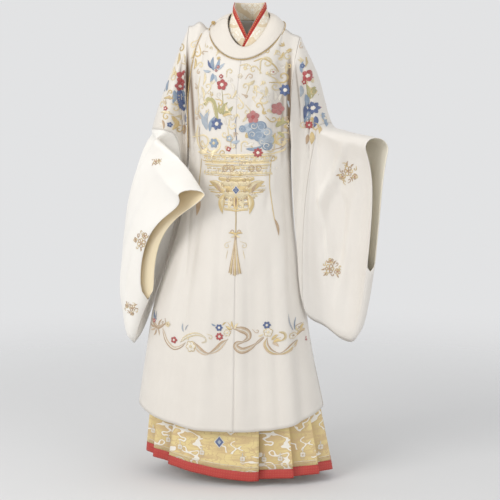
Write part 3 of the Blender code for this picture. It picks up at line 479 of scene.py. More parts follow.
# the red of the under-collar's edge runs on for a little below the band sewn over it
for key, name, redWidth in (("underCollar", "creamBrocade", 0.0195),
                            ("underInside", "plainCreamBrocade", 0.0)):
    cloths[key] = patternedMaterial(name, 0.48, (0.86, 0.80, 0.68), (0.66, 0.47, 0.22), rosetteGroup,
                                    [("Petals", (0.93, 0.89, 0.80), 0.75),
                                     ("Lines", (0.66, 0.47, 0.22), 0.55)],
                                    "Petals", (0.62, 0.22), redWidth, Scale=55.0)
cordGold = cordMaterial("goldCord", (0.62, 0.42, 0.13), 0.34, 0.35)
silkThread = threadMaterial("silkThread", 0.42, 0.0)
goldThread = threadMaterial("goldThread", 0.36, 0.35)
threads = {
    "gold": (0.74, 0.56, 0.24), "paleGold": (0.88, 0.75, 0.46), "navy": (0.045, 0.10, 0.29),
    "sky": (0.25, 0.35, 0.48), "paleSky": (0.46, 0.54, 0.62), "red": (0.47, 0.028, 0.024),
    "rose": (0.50, 0.15, 0.14), "olive": (0.50, 0.45, 0.17), "cream": (0.90, 0.85, 0.74),
    "tan": (0.56, 0.38, 0.21), "paleTan": (0.70, 0.54, 0.36), "brown": (0.34, 0.20, 0.09),
    "ash": (0.40, 0.43, 0.47),
}
metalThreads = ("gold", "paleGold")
redBand = {"dotScale": 130.0, "dotRadius": 0.24, "dotShare": 0.14, "dots": (0.70, 0.40, 0.15),
           "dark": (0.47, 0.038, 0.034), "light": (0.55, 0.062, 0.052)}
redEdge = {"dashScale": 48.0, "dashFrom": 0.55, "middle": 0.0068, "dashHalf": 0.0011, "creamWidth": 0.0006,
           "dark": (0.42, 0.008, 0.006), "light": (0.50, 0.020, 0.014), "gold": (0.74, 0.50, 0.18),
           "cream": (0.90, 0.85, 0.72)}


def redBandMaterial():
    # hem band: red weave with rows of small gold dots
    made, tree, shader = startMaterial("redHemBand", 0.5, 0.15)
    uv = uvSource(tree)
    woven = useGroup(tree, weaveGroup, UV=uv, Slub=0.4)
    cells = cellNode(tree, uv, 0.1)
    cells.inputs["Scale"].default_value = redBand["dotScale"]
    dots = mathNode(tree, "LESS_THAN", cells.outputs["Distance"], redBand["dotRadius"])
    shade = mixColour(tree, noiseNode(tree, uv, 40.0), redBand["dark"], redBand["light"])
    dotted = mixColour(tree, mathNode(tree, "MULTIPLY", dots, redBand["dotShare"]), shade, redBand["dots"])
    tree.links.new(dotted, shader.inputs["Base Color"])
    addBump(tree, shader, woven.outputs["Height"], 0.35, 0.0003)
    return made


def redEdgeMaterial():
    # under-collar edge: red stripes either side of a row of gold dashes, and a fine cream edge
    made, tree, shader = startMaterial("redGoldEdge", 0.5, 0.15)
    uv = uvSource(tree)
    across = splitVector(tree, uv)[1]
    dashes = mathNode(tree, "GREATER_THAN", waveNode(tree, uv, "X", redEdge["dashScale"]),
                      redEdge["dashFrom"])
    middle = mathNode(tree, "COMPARE", across, redEdge["middle"], redEdge["dashHalf"])
    cream = mathNode(tree, "LESS_THAN", across, redEdge["creamWidth"])
    red = mixColour(tree, noiseNode(tree, uv, 90.0), redEdge["dark"], redEdge["light"])
    striped = mixColour(tree, mathNode(tree, "MULTIPLY", middle, dashes), red, redEdge["gold"])
    tree.links.new(mixColour(tree, cream, striped, redEdge["cream"]), shader.inputs["Base Color"])
    woven = useGroup(tree, weaveGroup, UV=uv, Slub=0.3)
    addBump(tree, shader, woven.outputs["Height"], 0.4, 0.0003)
    return made


cloths["hemRed"] = redBandMaterial()
cloths["edgeRed"] = redEdgeMaterial()
print("materials are ready")

# Form of the body, read as smooth curves through short tables

body = {
    "cloth": 0.0018, "underarm": -0.330, "hem": -1.158, "hemRise": 0.050,
    "slitTop": -0.600, "slitHalf": 0.020, "centreSeam": 0.011, "chest": -0.200, "neckShare": 0.55,
    "lift": 0.0026, "bulge": 0.060, "innerStart": 0.30, "innerColumns": 44, "rowsAbove": 44, "rowsBelow": 72,
    "columns": 56,
    "shoulder": {1: (0.180, 0.004, -0.004), -1: (-0.153, 0.000, 0.031)}, "puff": {1: -0.003, -1: 0.016},
    # z, right, left, front, back
    "sections": inMetres([
        (-200, 150, 158, 112, 105), (-330, 151, 153, 116, 108), (-460, 160, 157, 120, 112),
        (-580, 188, 166, 128, 122), (-670, 218, 178, 138, 130), (-800, 262, 198, 150, 140),
        (-950, 288, 222, 160, 150), (-1110, 313, 256, 172, 162), (-1170, 320, 264, 176, 166),
    ]),
}
collarRing = {"x": 0.022, "halfX": 0.110, "halfFront": 0.096, "halfBack": 0.082,
              "z": 0.022, "drop": 0.058, "bend": 0.035}
neckRing = {"x": 0.027, "halfX": 0.062, "halfFront": 0.070, "halfBack": 0.056,
            "z": 0.049, "drop": 0.052, "bend": 0.034}

# main folds first, then the finer creases that only the cloth shows
bodyFolds = inMetres([
    # face, then x and z at the top, x and z low down, half width and depth
    ("front", 60, -620, 90, -1160, 26, -8), ("front", 128, -500, 178, -1160, 24, 9),
    ("front", -50, -660, -95, -1160, 30, 8), ("front", -120, -520, -180, -1160, 26, -9),
    ("front", -140, -60, -122, -300, 16, -8), ("front", 138, -60, 122, -340, 16, -9),
    ("front", 75, -140, 100, -440, 18, 5), ("back", 20, -400, 40, -1160, 32, -10),
    ("back", 90, -460, 130, -1160, 28, 10), ("back", -70, -440, -110, -1160, 28, 10),
    ("back", -110, -300, -185, -1160, 26, -9), ("back", 120, -80, 105, -360, 18, -7),
    ("back", -130, -80, -112, -360, 18, -7), ("front", -126, -100, -100, -420, 7, -3),
    ("front", 120, -120, 98, -500, 8, -3), ("front", -30, -460, -50, -1000, 12, -2.5),
    ("front", 40, -500, 52, -1100, 10, -2), ("front", 108, -600, 140, -1150, 11, -3),
    ("front", -150, -660, -222, -1150, 12, -3), ("front", 155, -700, 208, -1150, 12, -3),
    ("front", -90, -440, -150, -860, 10, -2), ("front", -88, -50, -50, -240, 9, -1.8),
    ("front", 78, -70, 50, -220, 9, -1.8), ("back", 60, -300, 70, -1000, 10, -3),
    ("back", -30, -360, -40, -1100, 11, -3), ("back", -150, -500, -230, -1120, 12, -3),
    ("back", 150, -500, 195, -1120, 12, -3), ("front", -150, -20, -144, -360, 4.8, -6),
    ("front", -136, -80, -130, -340, 4.2, -3.4), ("front", 158, -40, 154, -360, 5.4, -6.8),
    ("front", 143, -140, 139, -380, 4.4, -3), ("back", -146, -50, -138, -300, 5, -4.6),
    ("back", 156, -60, 150, -320, 5, -4.6), ("front", -128, -420, -150, -700, 6, -2.4),
    ("front", 142, -420, 156, -740, 6, -2.4), ("front", 20, -740, 30, -1120, 20, 4),
    ("front", 184, -860, 214, -1150, 16, -5),
])


def readTable(rows, value):
    table = np.array(rows, dtype=float)
    if table[0, 0] > table[-1, 0]:
        table = table[::-1]
    keys = table[:, 0]
    value = min(max(value, keys[0]), keys[-1])
    i = int(min(np.searchsorted(keys, value, side="right") - 1, len(keys) - 2))
    span = keys[i + 1] - keys[i]
    t = (value - keys[i]) / span
    before = table[i - 1] if i > 0 else table[i]
    after = table[i + 2] if i + 2 < len(keys) else table[i + 1]
    slopeIn = (table[i + 1] - before) / max(keys[i + 1] - before[0], 1e-9) * span
    slopeOut = (after - table[i]) / max(after[0] - keys[i], 1e-9) * span
    return ((2 * t**3 - 3 * t**2 + 1) * table[i] + (t**3 - 2 * t**2 + t) * slopeIn
            + (-2 * t**3 + 3 * t**2) * table[i + 1] + (t**3 - t**2) * slopeOut)


def ease(t):
    t = min(max(t, 0.0), 1.0)
    return t * t * (3 - 2 * t)


def unit(vector):
    return vector / max(np.linalg.norm(vector), 1e-12)


def distanceToLine(p, a, b):
    dx, dz = b[0] - a[0], b[1] - a[1]
    along = ((p[0] - a[0]) * dx + (p[1] - a[1]) * dz) / (dx * dx + dz * dz)
    near = min(max(along, 0.0), 1.0)
    return math.hypot(p[0] - a[0] - dx * near, p[1] - a[1] - dz * near), along


def creaseShade(depth, width):
    # painted shade: narrow deep creases are painted warm and dark, wide folds keep the cloth's colour
    return ease((-depth / width - 0.38) / 0.6)


def foldAt(folds, face, p):
    height, shade = 0.0, 0.0
    for name, xTop, zTop, xLow, zLow, width, depth in folds:
        if name == face and abs(p[0] - (xTop + xLow) / 2) < 0.16:
            away, along = distanceToLine(p, (xTop, zTop), (xLow, zLow))
            share = math.exp(-(away / width) ** 2) * ease(along * 4 + 0.15)
            height += depth * share
            shade += creaseShade(depth, width) * share * ease((1.02 - along) * 3)
    return height, min(shade, 1.0)


def sectionPoint(share, z, back):
    _, right, left, front, rear = readTable(body["sections"], z)
    centre, half = (left - right) / 2, (left + right) / 2
    angle = share * math.pi / 2
    depth = rear if back else -front
    return np.array([centre + half * math.sin(angle), depth * abs(math.cos(angle)), z])


def ringPoint(ring, degrees):
    s, c = math.sin(math.radians(degrees)), math.cos(math.radians(degrees))
    halfY = ring["halfFront"] if c > 0 else ring["halfBack"]
    z = ring["z"] - ring["drop"] * c - ring["bend"] * c * c
    return np.array([ring["x"] + ring["halfX"] * s, -halfY * c, z])


def topEdge(side, back, u):
    if u <= body["neckShare"]:
        degrees = 90 * u / body["neckShare"]
        return ringPoint(collarRing, side * (180 - degrees if back else degrees))
    t = (u - body["neckShare"]) / (1 - body["neckShare"])
    start, end = ringPoint(collarRing, side * 90), np.array(body["shoulder"][side])
    point = start + (end - start) * t
    point[2] += body["puff"][side] * math.sin(math.pi * t) ** 3
    return point


def seamShare(z):
    _, right, left, *_ = readTable(body["sections"], z)
    return math.asin((body["centreSeam"] - (left - right) / 2) / ((left + right) / 2)) / (math.pi / 2)


def bodyPoint(side, back, u, f):
    # u: 0 at the centre seam, 1 at the side; f: 1 at the top edge, 0 at the underarm, -1 at the hem
    under = body["underarm"]
    if f < 0:
        hem = body["hem"] + body["hemRise"] * abs(math.sin(side * u * math.pi / 2)) ** 3
        z = under + (under - hem) * f
        start = seamShare(z)
        return sectionPoint(start + (side - start) * u, z, back)
    top = topEdge(side, back, u)
    z = under + (top[2] - under) * f
    baseZ = min(z, body["chest"])
    start = seamShare(baseZ)
    base = sectionPoint(start + (side - start) * u, baseZ, back)
    if z > body["chest"]:
        w = min((z - body["chest"]) / max(top[2] - body["chest"], 1e-6), 1.0)
        roundness = 0.5 + 0.35 * (1 - ease(u / body["neckShare"]))
        x = base[0] + (top[0] - base[0]) * w ** 1.3
        y = top[1] + (base[1] - top[1]) * (1 - w ** 2) ** roundness
        base = np.array([x, y, z])
    bulge = body["bulge"] * math.sin(math.pi * f) ** 0.7 if 0 < f < 1 else 0.0
    base[1] += (1 if back else -1) * bulge * u ** 4
    return base


def normalsOf(grid, outward, closed=False):
    down = np.gradient(grid, axis=0)
    if closed:
        wide = np.concatenate([grid[:, -1:], grid, grid[:, :1]], axis=1)
        across = (wide[:, 2:] - wide[:, :-2]) / 2
    else:
        across = np.gradient(grid, axis=1)
    normal = np.cross(down, across)
    normal = normal / np.maximum(np.linalg.norm(normal, axis=2, keepdims=True), 1e-12)
    r, c = grid.shape[0] // 2, grid.shape[1] // 2
    return -normal if np.dot(normal[r, c], outward(grid[r, c])) < 0 else normal


def fromAxis(p):
    return np.array([p[0], p[1], 0.0])


def clothPiece(name, points, shade, material, thickness, closed=False, inside=None, insideFrom=0):
    # a grid of cloth with its UV map in metres, welded along the seam where it closes into a tube;
    # an own inside shows from row insideFrom on
    rows, columns = points.shape[:2]
    if closed:
        points = np.concatenate([points, points[:, :1]], axis=1)
        shade = np.concatenate([shade, shade[:, :1]], axis=1)
        columns += 1
    along = np.linalg.norm(np.diff(points, axis=1), axis=2)
    u = np.concatenate([np.zeros((rows, 1)), np.cumsum(along, axis=1)], axis=1)
    down = np.linalg.norm(np.diff(points, axis=0), axis=2)
    v = np.concatenate([np.zeros((1, columns)), np.cumsum(down, axis=0)], axis=0)
    bm = bmesh.new()
    bmesh.ops.create_grid(bm, x_segments=columns - 1, y_segments=rows - 1, size=0.5)
    uvLayer = bm.loops.layers.uv.new("clothUV")
    shadeLayer = bm.verts.layers.float.new("foldShade")
    spot = {}
    for vert in bm.verts:
        c = round((vert.co.x + 0.5) * (columns - 1))
        r = round((0.5 - vert.co.y) * (rows - 1))
        spot[vert] = (r, c)
        vert.co = points[r, c]
        vert[shadeLayer] = float(shade[r, c])
    for face in bm.faces:
        face.material_index = 2 if spot[face.verts[0]][0] < insideFrom else 0
        for loop in face.loops:
            r, c = spot[loop.vert]
            loop[uvLayer].uv = (u[r, c], v[r, c])
    if closed:
        seam = [vert for vert in bm.verts if spot[vert][1] in (0, columns - 1)]
        bmesh.ops.remove_doubles(bm, verts=seam, dist=0.00002)
    mesh = bpy.data.meshes.new(name)
    bm.to_mesh(mesh)
    bm.free()
    mesh.shade_smooth()
    mesh.materials.append(material)
    piece = addObject(name, mesh)
    if thickness:
        wall = piece.modifiers.new("cloth", "SOLIDIFY")
        wall.thickness = thickness
        wall.offset = -1.0
        if inside:
            for other in (inside, material, material):
                mesh.materials.append(other)
            wall.material_offset = 1
    return piece


def faceOutwards(piece, outward):
    # the grid's winding depends on which way it was laid, so one test turns the whole sheet
    mesh = piece.data
    face = mesh.polygons[len(mesh.polygons) // 2]
    if Vector(outward(np.array(face.center))).dot(face.normal) < 0:
        mesh.flip_normals()


def panelLevels():
    above = [1 - i / body["rowsAbove"] for i in range(body["rowsAbove"])]
    return above + [-i / body["rowsBelow"] for i in range(body["rowsBelow"] + 1)]


def overlapEnd(f):
    if f <= 0:
        return 0.860 + 0.10 * ease((-f - 0.45) / 0.3)
    return body["neckShare"] + 0.02 + (0.840 - body["neckShare"]) * (1 - f) ** 0.45


def overlapLift(u, f):
    return body["lift"] * ease(u / 0.22) * ease((1 - f) / 0.15)


def innerLift(u, f):
    under = 1 - ease((u - overlapEnd(f)) / 0.12)
    return -body["lift"] * (1 + (1 - ease((1 - f) / 0.15))) * under


def panelPoints(side, back, first=0.0, last=None, columns=None, lift=None):
    levels = panelLevels()
    columns = columns or body["columns"]
    grid = np.zeros((len(levels), columns + 3, 3))
    for r, f in enumerate(levels):
        end = last(f) if last else 1.0
        if f < 0:
            z = body["underarm"] + (body["underarm"] - body["hem"]) * f
            end -= body["slitHalf"] * ease((body["slitTop"] - z) / (body["slitTop"] - body["hem"]))
        for c in range(-1, columns + 2):
            u = first + (end - first) * c / columns
            if u <= 1.0:
                grid[r, c + 1] = bodyPoint(side, back, u, f)
            elif f <= 0:
                grid[r, c + 1] = bodyPoint(side, not back, 2.0 - u, f)
            else:
                grid[r, c + 1] = 2 * grid[r, c] - grid[r, c - 1]
    normal = normalsOf(grid, fromAxis)
    shade = np.zeros(grid.shape[:2])
    face = "back" if back else "front"
    lastColumn = grid.shape[1] - 2
    fade = 2.0 * columns / 10
    for r in range(grid.shape[0]):
        for c in range(grid.shape[1]):
            x, _, z = grid[r, c]
            height, shade[r, c] = foldAt(bodyFolds, face, (x, z))
            grid[r, c] += normal[r, c] * height * min(1.0, max(lastColumn - c, 0) / fade)
    if lift:
        ridge = grid[0, :, 1].copy()
        for r, f in enumerate(levels):
            end = last(f) if last else 1.0
            for c in range(grid.shape[1]):
                u = first + (end - first) * (c - 1) / (grid.shape[1] - 3)
                grid[r, c] += normal[r, c] * lift(u, f)
        shoulder = np.abs(grid[0, :, 0] - collarRing["x"]) > collarRing["halfX"] * 0.9
        grid[0, shoulder, 1] = ridge[shoulder]
    return grid[:, 1:-1].copy(), shade[:, 1:-1].copy()


# the cloth pieces of each part, which the embroidery is laid onto
frontTargets, backTargets, armTargets, skirtTargets = [], [], [], []


def keepCloth(piece, nodes, outward=fromAxis):
    if outward:
        faceOutwards(piece, outward)
    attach(piece, "root")
    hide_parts(*([nodes] if isinstance(nodes, str) else nodes))
    return piece


def buildBody():
    rims = {}
    for side, word in ((1, "left"), (-1, "right")):
        panels = [("robeBack" + word.title(), "back_" + word, panelPoints(side, True), backTargets)]
        if side == 1:
            panels.append(("robeFrontLeft", "front_left", panelPoints(side, False), frontTargets))
        else:
            under = panelPoints(side, False, first=body["innerStart"], columns=body["innerColumns"],
                                lift=innerLift)
            panels.append(("robeFrontRight", "front_right", under, frontTargets))
            over = panelPoints(side, False, last=overlapEnd, lift=overlapLift)
            panels.append(("robeOverlap", "front_overlap", over, frontTargets))
        for name, node, (grid, shade), targets in panels:
            piece = clothPiece(name, grid, shade, cloths["satin"], body["cloth"])
            targets.append(keepCloth(piece, node))
        rim = body["rowsAbove"] + 1
        rims[side] = (panels[1][2][0][:rim, -1], panels[0][2][0][:rim, -1])
    return rims, over[0]


armholeRims, overlapGrid = buildBody()
print("body panels are made")

# Sleeves: runs of hanging rings, wrapped round the arm at the top and hanging below it in two layers

sleeves = {
    "cloth": 0.0018, "upperRings": 34, "lowerRings": 60, "blend": 0.40, "ringStep": 0.0245, "hangFade": 0.075,
    "runLength": 0.3, "insideFrom": 31,
    # run, then x y z of top, upper, lower and low, then arm, gap and facing
    1: inMetres([
        (0.0, 180, 4, -4, 170, 0, -100, 160, 0, -220, 154, 0, -330, 50, 40, 0),
        (0.5, 226, 22, -112, 196, 10, -200, 166, -10, -420, 177, -26, -620, 48, 9, 8),
        (1.0, 262, 40, -257, 205, 16, -290, 188, -18, -600, 204, -40, -815, 46, 10, 20),
        (1.3, 303, 12, -276, 262, 24, -360, 258, 22, -680, 262, 4, -868, 44, 13, 32),
        (1.55, 340, -20, -284, 318, 22, -420, 322, 24, -720, 315, 6, -906, 42, 14, 40),
        (1.75, 372, -46, -289, 372, 0, -420, 368, 6, -720, 352, -8, -900, 41, 14, 46),
        (1.9, 396, -66, -293, 408, -34, -420, 394, -22, -660, 376, -24, -830, 40, 14, 50),
        (2.0, 412, -80, -296, 426, -60, -400, 410, -52, -560, 398, -48, -690, 40, 15, 52),
    ], (0, 15)),
    -1: inMetres([
        (0.0, -153, 0, 31, -162, 0, -90, -158, 0, -220, -154, 0, -330, 50, 40, 0),
        (0.5, -220, 4, -125, -128, 0, -200, -172, 12, -400, -191, 30, -560, 50, 10, -6),
        (1.0, -272, 6, -276, -85, -24, -270, -198, 14, -500, -256, 42, -745, 50, 11, -16),
        (1.12, -258, -24, -296, -290, -30, -330, -330, 0, -600, -280, 18, -826, 50, 12, -26),
        (1.28, -216, -62, -330, -368, -20, -350, -368, 6, -660, -302, -4, -890, 48, 14, -42),
        (1.52, -172, -116, -366, -318, -62, -400, -390, -28, -700, -322, -30, -926, 46, 16, -70),
        (1.74, -142, -158, -398, -206, -146, -470, -376, -68, -660, -316, -62, -912, 44, 18, -94),
        (1.9, -120, -190, -425, -132, -180, -520, -336, -108, -550, -292, -80, -850, 42, 20, -108),
        (2.0, -104, -210, -444, -88, -204, -530, -276, -130, -490, -264, -92, -785, 40, 21, -116),
    ], (0, 15)),
}
sleeveFolds = {
    # layer, run and drop at the top, run and drop low down, half width, depth
    1: inMetres([
        ("front", 1.02, 0.1, 1.22, 0.8, 22, -7), ("front", 1.6, 0.12, 1.24, 0.6, 26, -9),
        ("front", 1.8, 0.1, 1.5, 0.85, 24, 7), ("front", 0.15, 0.1, 0.55, 0.34, 18, -6),
        ("back", 1.05, 0.1, 1.35, 0.85, 26, -8), ("back", 1.75, 0.12, 1.6, 0.85, 24, 8),
        ("back", 0.2, 0.15, 0.6, 0.6, 22, -7), ("front", 0.45, 0.06, 0.8, 0.36, 10, -3),
        ("front", 0.7, 0.04, 0.92, 0.22, 8, -3), ("front", 1.4, 0.08, 1.3, 0.5, 9, -2.5),
        ("front", 1.7, 0.3, 1.62, 0.8, 10, -2), ("back", 1.4, 0.12, 1.44, 0.8, 10, -2.5),
        ("back", 0.5, 0.1, 0.86, 0.5, 10, -3), ("front", 1.62, 0.05, 1.22, 0.46, 15, 12),
        ("front", 1.22, 0.46, 1.4, 0.7, 13, 8), ("front", 1.5, 0.34, 1.46, 0.6, 34, -12),
        ("front", 0.28, 0.1, 0.92, 0.34, 6, -5.6), ("front", 0.05, 0.16, 0.1, 0.72, 5.6, -6.6),
        ("front", 0.12, 0.14, 0.4, 0.46, 5, -4), ("front", 1.0, 0.16, 1.18, 0.34, 7, -2.6),
        ("front", 1.02, 0.34, 1.12, 0.86, 9, -3), ("back", 0.3, 0.12, 0.9, 0.36, 5.5, -4.6),
        ("back", 1.05, 0.3, 1.22, 0.9, 10, -3),
    ], (1, 2, 3, 4)),
    -1: inMetres([
        ("front", 1.1, 0.1, 1.3, 0.7, 22, -8), ("front", 1.55, 0.16, 1.42, 0.8, 24, 7),
        ("front", 0.15, 0.1, 0.55, 0.36, 18, -6), ("back", 1.2, 0.14, 1.34, 0.8, 26, -8),
        ("back", 1.7, 0.2, 1.62, 0.8, 22, 7), ("back", 0.2, 0.15, 0.6, 0.6, 22, -7),
        ("front", 0.45, 0.06, 0.8, 0.36, 10, -3), ("front", 0.7, 0.04, 0.92, 0.22, 8, -3),
        ("back", 1.1, 0.06, 1.3, 0.4, 9, -2.5), ("back", 1.46, 0.1, 1.4, 0.7, 10, -2.5),
        ("back", 1.62, 0.06, 1.58, 0.5, 9, -2), ("back", 0.5, 0.1, 0.86, 0.5, 10, -3),
        ("front", 0.2, 0.1, 0.8, 0.32, 6, -5.4), ("front", 0.1, 0.16, 0.4, 0.5, 5, -3.8),
        ("front", 0.05, 0.12, 0.1, 0.66, 7, -7), ("front", 1.3, 0.3, 1.2, 0.8, 12, 6),
        ("front", 1.04, 0.08, 1.2, 0.16, 6, -3), ("front", 1.06, 0.2, 1.22, 0.3, 7, -3),
        ("back", 0.26, 0.12, 0.84, 0.34, 5.5, -4.6), ("back", 1.24, 0.12, 1.5, 0.3, 10, -3),
    ], (1, 2, 3, 4)),
}


def sleeveRing(side, run, count):
    row = readTable(sleeves[side], run)
    controls = [row[1:4], row[4:7], row[7:10], row[10:13]]
    arm, gap, facing = row[13], row[14], math.radians(row[15])
    across = np.array([-math.sin(facing), -math.cos(facing), 0.0])
    length = sum(np.linalg.norm(controls[i + 1] - controls[i]) for i in range(3))
    front, back, frontShade, backShade = [], [], [], []
    for i in range(count + 1):
        share = 0.5 * ((i / count) ** 1.6 + (i / count) ** 1.15)
        down = share * length
        s = 1 - share
        middle = (controls[0] * s**3 + controls[1] * 3 * s * s * share + controls[2] * 3 * s * share * share
                  + controls[3] * share**3)
        if down < arm:
            half = math.sqrt(max(arm**2 - (arm - down) ** 2, 0.0))
        else:
            half = gap + (arm - gap) * math.exp(-((down - arm) / sleeves["hangFade"]) ** 1.3)
        leftOver = length - down
        if leftOver < 2.2 * gap:
            half = min(half, gap * math.sqrt(max(1 - (1 - leftOver / (2.2 * gap)) ** 2, 0.0)))
        fade = math.sin(math.pi * min(max(share, 0.0), 1.0)) ** 0.6
        for layer, sign, points, shades in (("front", 1, front, frontShade), ("back", -1, back, backShade)):
            # relief of the folds, and the painted shade of the narrow creases at this point
            relief, creaseShadeSum = 0.0, 0.0
            for name, runTop, dropTop, runLow, dropLow, width, depth in sleeveFolds[side]:
                if name == layer:
                    away, along = distanceToLine((run * sleeves["runLength"], share * length),
                                                 (runTop * sleeves["runLength"], dropTop * length),
                                                 (runLow * sleeves["runLength"], dropLow * length))
                    near = math.exp(-(away / width) ** 2) * ease(along * 4 + 0.15)
                    relief += depth * near
                    creaseShadeSum += creaseShade(depth, width) * near * ease((1.02 - along) * 3)
            points.append(middle + across * sign * max(half + relief * fade, min(half, 0.004)))
            shades.append(min(creaseShadeSum * fade, 1.0))
    ring = np.array([front[-1]] + front[-2:0:-1] + [front[0]] + back[1:-1])
    shade = np.array([frontShade[-1]] + frontShade[-2:0:-1] + [frontShade[0]] + backShade[1:-1])
    return ring, shade


def windTube(piece, rings):
    # one outward test on the tube's middle ring, from its own centre
    ring = rings[len(rings) // 2]
    centre = Vector(ring.mean(axis=0))
    mesh = piece.data
    turned = 0.0
    for face in mesh.polygons:
        if abs(face.center.z - centre.z) < 0.25:
            turned += (face.center - centre).normalized().dot(face.normal) * face.area
    if turned < 0:
        mesh.flip_normals()


def sleeveNodes(part, side):
    # the left sleeve's solids are two layers, the right sleeve's are whole tubes
    if side == 1:
        return ["sleeve_" + part + "_left_front", "sleeve_" + part + "_left_back"]
    return ["sleeve_" + part + "_right"]


def buildSleeves():
    count = body["rowsAbove"]
    for side, word in ((1, "Left"), (-1, "Right")):
        front, back = armholeRims[side]
        rim = np.array([front[-1]] + [front[i] for i in range(count - 1, 0, -1)] + [front[0]]
                       + [back[i] for i in range(1, count)])
        rim[0][1] = 0.0
        rim[count][1] = (front[0][1] + back[0][1]) / 2
        rings, shades = [], []
        for i in range(sleeves["upperRings"] + 1):
            run = i / sleeves["upperRings"]
            ring, shade = sleeveRing(side, run, count)
            mix = ease(run / sleeves["blend"])
            ring = (rim + (side * 0.0008, 0, 0)) * (1 - mix) + ring * mix
            if rings:
                step = sleeves["ringStep"] / sleeves["upperRings"]
                ring[:, 0] = side * np.maximum(ring[:, 0] * side, rings[-1][:, 0] * side + step)
            rings.append(ring)
            shades.append(shade)
        rings = np.array(rings)
        piece = clothPiece("sleeveUpper" + word, rings, np.array(shades), cloths["satin"], sleeves["cloth"],
                           True)
        windTube(piece, rings)
        armTargets.append(keepCloth(piece, sleeveNodes("upper", side), outward=None))
        plain, _ = sleeveRing(side, 1.0, count)
        shift = rings[-1] - plain
        lower, shades = [], []
        for i in range(sleeves["lowerRings"] + 1):
            run = 1.0 + i / sleeves["lowerRings"]
            ring, shade = sleeveRing(side, run, count)
            lower.append(ring + shift * (1 - ease((run - 1.0) / 0.09)))
            shades.append(shade)
        lower = np.array(lower)
        lower[0] += (lower[1] - lower[0]) * 0.08
        # each lower sleeve takes its painted-shade or painted-light copy of the satin, and from row
        # insideFrom on an inside of painted light
        piece = clothPiece("sleeveLower" + word, lower, np.array(shades), cloths["sleeve" + word],
                           sleeves["cloth"], True, cloths["inside" + word], sleeves["insideFrom"])
        windTube(piece, lower)
        armTargets.append(keepCloth(piece, sleeveNodes("lower", side), outward=None))


buildSleeves()
print("sleeves are made")

# Skirt: flat panels front and back, knife pleats at both sides, a red band along the hem

skirt = {
    "cloth": 0.0018, "waist": -0.335, "low": -1.312, "riseRight": 0.050, "riseLeft": 0.014, "band": 0.028,
    "pleats": 6, "sharp": 0.7, "waistDepth": 0.005, "hemDepth": 0.024, "tuck": 0.26, "panelTuck": 0.10,
    "fine": 26, "rows": 54, "bandRows": 4, "lastTurn": 0.6, "foldShade": 0.55, "seam": 0.0003,
    # shares along a pleat's face and of its depth there
    "pleatFace": ((0.0, 1.0), (0.14, 0.90), (0.32, 0.74), (0.50, 0.62), (0.66, 0.42), (0.80, 0.20),
                  (0.92, 0.05),
                  (1.0, 0.0)),
    "ripple": {"height": 0.0012, "around": 0.35, "down": 9.0},
    "flatFront": ((-0.085, 0.080), (-0.205, 0.082)), "flatBack": ((-0.085, 0.085), (-0.150, 0.140)),
    # z, right, left, front, back
    "sections": inMetres([
        (-330, 124, 124, 90, 90), (-460, 132, 132, 98, 96), (-580, 150, 142, 108, 104),
        (-800, 212, 172, 126, 122), (-1000, 262, 222, 138, 141.8), (-1130, 282, 253, 146, 146),
        (-1315, 301, 293, 150, 152),
    ]),
    "waistband": {"height": 0.070, "cloth": 0.003, "lean": 0.10, "out": 0.001},
}


def skirtHem(x):
    if x < 0.06:
        return skirt["low"] + skirt["riseRight"] * (min((0.06 - x) / 0.36, 1.0)) ** 1.5
    return skirt["low"] + skirt["riseLeft"] * min((x - 0.06) / 0.22, 1.0)


def skirtAngle(z, x, back):
    _, right, left, *_ = readTable(skirt["sections"], z)
    share = math.asin((x - (left - right) / 2) / ((left + right) / 2)) / (math.pi / 2)
    return 180 - 90 * share if back else 90 * share


def skirtAt(degrees, z, inset):
    _, right, left, front, rear = readTable(skirt["sections"], z)
    s, c = math.sin(math.radians(degrees)), math.cos(math.radians(degrees))
    centre, half = (left - right) / 2, (left + right) / 2
    depth = front if c > 0 else rear
    point = np.array([centre + half * s, -depth * c, z])
    return point + unit(np.array([-s / half, c / depth, 0.0])) * inset


def skirtColumns(z, part, fine):
    # angle and inset share of each column; a pleat's long face is cut finely, its turn is sharp
    t = (skirt["waist"] - z) / (skirt["waist"] - skirt["low"])
    front = [a + (b - a) * t for a, b in zip(*skirt["flatFront"])]
    rear = [a + (b - a) * t for a, b in zip(*skirt["flatBack"])]
    if part in ("front", "back"):
        start, end = (skirtAngle(z, x, part == "back") for x in (front if part == "front" else rear))
        return [(start + (end - start) * i / fine, 0.0) for i in range(fine + 1)]
    if part == "left":
        start, end = skirtAngle(z, front[1], False), skirtAngle(z, rear[1], True)
    else:
        start, end = skirtAngle(z, front[0], False), skirtAngle(z, rear[0], True) - 360
    step = (end - start) / skirt["pleats"]
    columns = []
    for i in range(skirt["pleats"]):
        isLast = i == skirt["pleats"] - 1
        inner = start + step * (i - (skirt["tuck"] if i else skirt["panelTuck"]))
        outer = start + step * (i + 1 + (skirt["panelTuck"] if isLast else 0.0))
        for along, inset in skirt["pleatFace"]:
            if isLast and along > skirt["lastTurn"]:
                inset = max(inset, 0.95 * along)
            columns.append((inner + (outer - inner) * along, inset))
    return columns


